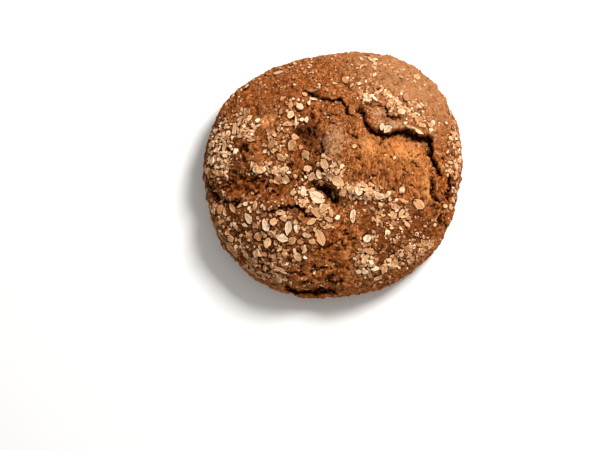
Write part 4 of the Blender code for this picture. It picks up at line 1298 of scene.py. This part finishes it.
class Finish:
    # one material, built node by node
    def __init__(self, name):
        self.material = bpy.data.materials.new(name)
        self.material.use_nodes = True
        self.tree = self.material.node_tree
        self.shader = self.tree.nodes["Principled BSDF"]
        self.place = self.add("ShaderNodeTexCoord", {}, {}, "Object")

    def add(self, kind, settings, inputs, output=0):
        node = self.tree.nodes.new(kind)
        for name, value in settings.items():
            if name == "stops":
                self.setStops(node.color_ramp, value)
            else:
                setattr(node, name, value)
        for name, value in inputs.items():
            if isinstance(value, Wire):
                self.tree.links.new(value.socket, node.inputs[name])
            else:
                node.inputs[name].default_value = value
        return Wire(self, node.outputs[output])

    def setStops(self, ramp, stops):
        while len(ramp.elements) < len(stops):
            ramp.elements.new(0.5)
        for element, (position, colour) in zip(ramp.elements, stops):
            element.position = position
            element.color = colour

    def ramp(self, value, *stops):
        return self.add("ShaderNodeValToRGB", {"stops": stops}, {0: value})

    def mix(self, share, first, second):
        return self.add("ShaderNodeMix", {"data_type": "RGBA"}, {0: share, 6: first, 7: second}, 2)

    def cloud(self, size, detail, rough, place=None):
        return self.add(
            "ShaderNodeTexNoise", {},
            {"Vector": place or self.place, "Scale": 1 / size, "Detail": detail, "Roughness": rough},
        )

    def streaks(self, length, breadth, way):
        # noise drawn out one way, seen from above
        spot = self.add(
            "ShaderNodeMapping", {"vector_type": "TEXTURE"},
            {"Vector": self.place, "Rotation": (0, 0, math.radians(way)), "Scale": (length, breadth, length)},
        )
        return self.cloud(1, 3, 0.6, spot)

    def fanned(self, length, breadth):
        # noise drawn out away from the place that the torn strands fan out from
        start = (np.array(crustRelief["fan"]) * mm - footprintOffset).tolist()
        offset = [self.part(self.place, axis) - start[number] for number, axis in enumerate("XY")]
        away = (offset[0] ** 2 + offset[1] ** 2) ** 0.5
        turned = offset[0].reckon("ARCTAN2", offset[0], 0 - offset[1])
        spot = self.add(
            "ShaderNodeCombineXYZ", {},
            {0: away / length, 1: turned * (start[1] / breadth), 2: self.part(self.place, "Z") / length},
        )
        return self.cloud(1, 3, 0.6, spot)

    def part(self, place, axis):
        return self.add("ShaderNodeSeparateXYZ", {}, {0: place}, axis)

    def step(self, value, low, high):
        # 0 below low, 1 above high, smooth between
        return self.add(
            "ShaderNodeMapRange", {"interpolation_type": "SMOOTHSTEP"},
            {0: value, 1: low, 2: high, 3: 0, 4: 1},
        )

    def kept(self, name):
        return self.add("ShaderNodeAttribute", {"attribute_name": name}, {}, "Fac")

    def blob(self, middle, half, turn):
        # 1 in the middle of an oval seen from above, 0 from its edge on
        shift = footprintOffset / mm
        spot = self.add(
            "ShaderNodeMapping", {"vector_type": "TEXTURE"},
            {
                "Vector": self.place,
                "Location": ((middle[0] - shift[0]) * mm, (middle[1] - shift[1]) * mm, 0),
                "Rotation": (0, 0, math.radians(turn)),
                "Scale": (half[0] * mm, half[1] * mm, 10),
            },
        )
        distance = self.add("ShaderNodeVectorMath", {"operation": "LENGTH"}, {0: spot}, "Value")
        return self.step(1 - distance, 0, 1)

    def blobs(self, ovals):
        # the sum of several of them, each by its own strength
        first, *others = [strength * self.blob(middle, half, turn) for middle, half, turn, strength in ovals]
        return sum(others, first)

    def bump(self, strength, depth, relief):
        settings = {"Strength": strength, "Distance": depth, "Height": relief}
        return self.add("ShaderNodeBump", {}, settings)

    def wear(self, colour, rough, bump, gloss, *pieces):
        self.shader.inputs["Specular IOR Level"].default_value = gloss
        for name, value in (("Base Color", colour), ("Roughness", rough), ("Normal", bump)):
            if isinstance(value, Wire):
                self.tree.links.new(value.socket, self.shader.inputs[name])
            elif value is not None:
                self.shader.inputs[name].default_value = value
        for piece in pieces:
            piece.data.materials.clear()
            piece.data.materials.append(self.material)


crustLook = {
    "dark": tint(92, 38, 5),
    "middle": tint(139, 71, 21),
    "light": tint(181, 99, 41),
    "palest": tint(220, 142, 80),
    "field": tint(216, 134, 68),
    "lit": tint(236, 158, 90),
    "fieldLow": tint(128, 72, 38),
    "valley": tint(126, 56, 14),
    "strewn": tint(102, 48, 13),
    "shadow": tint(62, 22, 2),
    "shaded": tint(88, 47, 27),
    "paintedGapShade": tint(30, 10, 3),
    "gapCrumb": tint(100, 46, 14),
    "red": tint(134, 62, 18),
    "haze": tint(176, 124, 82),
    "flour": tint(190, 148, 108),
    "lip": tint(200, 158, 120),
    "speck": tint(222, 152, 96),
    "base": tint(142, 88, 46),
    "baseFlour": tint(198, 158, 116),
    "gloss": 0.01,
    # ovals on the top: middle and half sizes in millimetres, turn in degrees, and strength
    "strewnAt": (
        ((-60, -54), (74, 54), -32, 1.0),
        ((-97, 10), (36, 54), 0, 1.3),
        ((-34, -8), (56, 22), -25, 0.8),
        ((44, -40), (44, 26), -20, 0.9),
        ((58, -56), (56, 34), 36, 0.9),
    ),
    # painted shade between the flakes of the left lobe
    "paintedLobeShadeAt": (((-94, 22), (24, 40), 8, 1.0),),
    "redAt": (((-40, 62), (80, 60), 30, 0.7),),
    "redRimAt": (((108, 0), (24, 80), 0, 0.75),),
    "hazyAt": (((62, 74), (96, 54), -38, 1.0),),
    "fieldAt": (((56, 12), (50, 30), -14, 0.75),),
    # patches of painted light, on slopes that face the lamp
    "litAt": (
        ((29, 17), (15, 11), -25, 1.0),
        ((62, 13), (19, 11), -22, 1.0),
        ((-54, 40), (14, 9), 15, 0.8),
        ((77, -15), (8, 20), 8, 0.8),
    ),
    "lowAt": (((40, -12), (48, 20), -8, 1.0),),
    "valleysAt": (
        ((-24, 26), (22, 44), -5, 1.0),
        ((-62, -13), (46, 16), -2, 1.0),
        ((-2, -64), (24, 34), -5, 0.5),
    ),
    # ovals of painted shade: slopes turned from the light round the middle, the bloom's side away from it,
    # and under the torn edge at the front left
    "shadedAt": (
        ((-9, 18), (14, 20), 0, 1.0),
        ((-14, -2), (30, 12), -15, 0.7),
        ((-39, -38), (26, 10), -3, 1.0),
        ((-22, 32), (18, 24), 0, 0.9),
    ),
    "bloomAt": (((1, 20), (17, 28), -8, 0.9),),
    "lipAt": (((51, 33.5), (28, 7), -13, 1.3), ((38, 44), (13, 4), 3, 0.9)),
}


def finishCrust():
    look = crustLook
    finish = Finish("bakedCrust")
    hollow = finish.kept("hollow")
    torn = finish.kept("torn")
    deep = finish.kept("deep")
    patchy = finish.cloud(0.014, 3, 0.6)
    mottled = finish.cloud(0.0042, 3, 0.65)
    grain = finish.cloud(0.0016, 3, 0.7)
    height = finish.part(finish.place, "Z")

    spread = 0.22 * patchy + 0.33 * mottled + 0.45 * grain
    colour = finish.ramp(
        spread, (0.41, look["dark"]), (0.475, look["middle"]), (0.53, look["light"]), (0.60, look["palest"])
    )
    # specks of bran
    speck = finish.step(finish.cloud(0.0010, 2, 0.5), 0.57, 0.64)
    colour = finish.mix(0.7 * speck, colour, look["speck"])
    fleck = finish.step(finish.cloud(0.0012, 2, 0.5), 0.56, 0.63)
    colour = finish.mix(0.7 * fleck, colour, look["dark"])
    # the crust that the flakes lie on, browner than the rest
    strewn = finish.step(finish.blobs(look["strewnAt"]) * (1.4 - patchy), 0.1, 0.7)
    colour = finish.mix(0.8 * strewn, colour, look["strewn"])
    # painted shade between the flakes of the left lobe, on the side away from the light
    paintedLobeShade = finish.blobs(look["paintedLobeShadeAt"]) * finish.step(mottled, 0.32, 0.56)
    colour = finish.mix(0.75 * paintedLobeShade, colour, look["shadow"])
    # the reddish back left, and the paler back right
    reddish = finish.step(patchy, 0.3, 0.6)
    for ovals in (look["redAt"], look["redRimAt"]):
        colour = finish.mix(finish.blobs(ovals) * reddish, colour, look["red"])
    hazy = finish.blobs(look["hazyAt"]) * finish.step(mottled, 0.22, 0.5)
    colour = finish.mix(0.8 * hazy, colour, look["haze"])
    # the torn field in front of the flap baked the palest
    strand = finish.fanned(0.0052, 0.0016)
    field = finish.blobs(look["fieldAt"]) * finish.step(torn, 0.0, 0.3)
    field = field * finish.step(0.6 * strand + 0.4 * patchy, 0.36, 0.52)
    colour = finish.mix(field, colour, look["field"])
    # painted light on the slopes that face the lamp
    lit = finish.step(finish.blobs(look["litAt"]) + 1.6 * (strand - 0.5), 0.1, 0.7)
    colour = finish.mix(0.65 * lit, colour, look["lit"])
    # the field's front half browner
    low = finish.blobs(look["lowAt"])
    browner = 0.8 * low * finish.step(0.6 * patchy + 0.4 * strand, 0.39, 0.51)
    colour = finish.mix(browner, colour, look["fieldLow"])
    darkest = 0.6 * low * finish.step(0.5 * mottled + 0.5 * strand, 0.52, 0.60)
    colour = finish.mix(darkest, colour, look["dark"])
    tornHere = finish.step(torn, 0.1, 0.5)
    colour = finish.mix(0.75 * finish.step(strand, 0.53, 0.62) * tornHere, colour, look["dark"])
    colour = finish.mix(0.6 * finish.step(0 - strand, -0.47, -0.39) * tornHere, colour, look["palest"])
    # the valleys baked darker
    valley = finish.step(finish.blobs(look["valleysAt"]) * (1.3 - mottled), 0.1, 0.8)
    colour = finish.mix(0.62 * valley, colour, look["valley"])
    # painted shade on the slopes turned from the light and under the torn edge at the front left
    shady = finish.step(finish.blobs(look["shadedAt"]) * (1.5 - mottled), 0.2, 0.8)
    colour = finish.mix(0.7 * shady, colour, look["shaded"])
    # grey flour left on the swell beside the middle, and on the lip of the flap
    powdery = 0.25 + 0.75 * finish.step(0.5 * grain + 0.5 * mottled, 0.42, 0.54)
    brushed = 4.0 * (finish.streaks(0.0042, 0.0020, 78) - 0.5)
    floury = finish.step(finish.blobs(look["bloomAt"]) + brushed, 0.35, 0.8)
    colour = finish.mix(0.8 * floury * powdery, colour, look["flour"])
    brushed = 4.0 * (finish.streaks(0.0045, 0.0014, -13) - 0.5)
    floury = finish.step(finish.blobs(look["lipAt"]) + brushed, 0.3, 0.7)
    untorn = 1 - finish.step(torn, 0.3, 0.8)
    colour = finish.mix(0.85 * floury * powdery * untorn, colour, look["lip"])
    # paler on what stands up, part dust and part painted highlight, and painted shade in the hollows
    dustAndHighlight = finish.step(0 - hollow, 0.15, 0.9) * finish.step(grain, 0.40, 0.6)
    colour = finish.mix(0.35 * dustAndHighlight, colour, look["haze"])
    shade = finish.step(hollow + 0.8 * (grain - 0.5), 0.0, 0.8)
    colour = finish.mix((0.75 - 0.5 * hazy) * shade, colour, look["shadow"])
    # painted shade in the deep tears and slits, flecked with crumb
    sunk = finish.step(deep + 0.3 * hollow + 0.6 * (mottled - 0.5), 0.28, 0.85)
    crumbs = 0.8 * finish.step(0.6 * grain + 0.4 * mottled, 0.47, 0.58)
    colour = finish.mix(0.9 * sunk, colour, finish.mix(crumbs, look["paintedGapShade"], look["gapCrumb"]))
    # painted shadow round each flake, on its side away from the light, weaker in the haze
    uneven = 1.2 * (mottled - 0.5) + 0.6 * (grain - 0.5)
    shaded = (0.85 - 0.5 * hazy) * finish.step(finish.kept("close") + uneven, 0.35, 0.95)
    colour = finish.mix(shaded, colour, look["shadow"])
    # the floured base
    under = 1 - finish.step(height, 0.0008, 0.007)
    dusted = finish.mix(finish.step(mottled, 0.42, 0.6), look["base"], look["baseFlour"])
    colour = finish.mix(0.6 * under, colour, dusted)

    rough = 0.72 + 0.2 * mottled
    relief = finish.cloud(0.0012, 5, 0.75) + 0.7 * finish.cloud(0.003, 3, 0.6)
    finish.wear(colour, rough, finish.bump(1.0, 0.0013, relief), look["gloss"], crust, crustGrains)


flakeLook = {
    "pale": tint(228, 180, 132),
    "warm": tint(210, 154, 102),
    "toasted": tint(170, 108, 62),
    "bran": tint(118, 62, 26),
    "white": tint(248, 220, 184),
    "gloss": 0.2,
    "bitGloss": 0.3,
}


def finishFlakes():
    look = flakeLook
    finish = Finish("rolledFlake")
    tone = finish.kept("tone")
    lengthways = finish.kept("lengthways")
    crossways = finish.kept("crossways")
    spot = finish.add("ShaderNodeCombineXYZ", {}, {0: 3 * lengthways, 1: 22 * crossways, 2: 40 * tone})
    fibre = finish.cloud(1.0, 3, 0.6, spot)
    mottled = finish.cloud(0.0022, 3, 0.6)
    colour = finish.ramp(
        tone + 0.5 * (mottled - 0.5), (0.05, look["toasted"]), (0.40, look["warm"]), (0.75, look["pale"]),
        (1.0, look["white"]),
    )
    colour = finish.mix(0.65 * finish.step(fibre, 0.48, 0.62), colour, look["toasted"])
    aside = finish.add("ShaderNodeMath", {"operation": "ABSOLUTE"}, {0: crossways})
    colour = finish.mix(0.5 * finish.step(1 - 14 * aside, 0, 1), colour, look["bran"])
    rim = finish.add(
        "ShaderNodeVectorMath", {"operation": "LENGTH"},
        {0: finish.add("ShaderNodeCombineXYZ", {}, {0: 2 * lengthways, 1: 2 * crossways})}, "Value",
    )
    colour = finish.mix(0.35 * finish.step(rim, 0.7, 0.95), colour, look["white"])
    relief = 0.8 * fibre + finish.cloud(0.0009, 3, 0.6)
    bump = finish.bump(1.0, 0.0005, relief)
    finish.wear(colour, 0.6 + 0.2 * mottled, bump, look["gloss"], rolledFlakes)


def finishBits():
    look = flakeLook
    finish = Finish("brokenFlake")
    tone = finish.kept("tone")
    mottled = finish.cloud(0.0016, 3, 0.6)
    colour = finish.ramp(
        tone + 0.3 * (mottled - 0.5), (0.02, look["bran"]), (0.25, look["toasted"]), (0.55, look["warm"]),
        (0.80, look["pale"]), (1.0, look["white"]),
    )
    bump = finish.bump(0.6, 0.0003, finish.cloud(0.0008, 3, 0.6))
    finish.wear(colour, 0.65 + 0.2 * mottled, bump, look["bitGloss"], flakeBits)


finishCrust()
finishFlakes()
finishBits()
print("materials made")


# the floor, light and camera

studio = {
    "floor": tint(244, 243, 240),
    "floorRough": 0.9,
    "floorGloss": 0.5,
    "world": (1.0, 0.99, 0.975, 1),
    "worldStrength": 0.46,
    "keyPlace": (0.50, 0.52, 1.0),
    "keySize": 0.4,
    "keyPower": 20,
    "aim": (0, 0, 0.03),
    "cameraTurn": 0,
    "cameraRise": 84,
    "cameraDistance": 1.1,
    "frameMiddle": (-27.2, -42.1, 18),  # the frame's middle, in millimetres from the loaf's
    "lens": 77.6,
}


def aimed(spot, target):
    return (Vector(target) - Vector(spot)).to_track_quat("-Z", "Y").to_euler()


floor = addPrimitive(bpy.ops.mesh.primitive_plane_add, "floor", size=6, location=(0, 0, -0.0002))
floorFinish = Finish("paleFloor")
floorFinish.wear(studio["floor"], studio["floorRough"], None, studio["floorGloss"], floor)

keyLight = bpy.data.lights.new("keyLight", "AREA")
keyLight.energy = studio["keyPower"]
keyLight.size = studio["keySize"]
key = bpy.data.objects.new("keyLight", keyLight)
key.location = studio["keyPlace"]
key.rotation_euler = aimed(studio["keyPlace"], studio["aim"])
bpy.context.scene.collection.objects.link(key)

world = bpy.data.worlds.new("studio")
world.use_nodes = True
world.node_tree.nodes["Background"].inputs[0].default_value = studio["world"]
world.node_tree.nodes["Background"].inputs[1].default_value = studio["worldStrength"]
bpy.context.scene.world = world
bpy.context.scene.view_settings.view_transform = "Standard"

target = Vector([value * mm for value in studio["frameMiddle"]]) - Vector((*footprintOffset, 0))
turn, rise = math.radians(studio["cameraTurn"]), math.radians(studio["cameraRise"])
back = Vector((math.sin(turn) * math.cos(rise), -math.cos(turn) * math.cos(rise), math.sin(rise)))
camera = bpy.data.objects.new("camera", bpy.data.cameras.new("camera"))
camera.data.lens = studio["lens"]
camera.location = target + studio["cameraDistance"] * back
camera.rotation_euler = aimed(camera.location, target)
bpy.context.scene.collection.objects.link(camera)
bpy.context.scene.camera = camera
print("studio set")
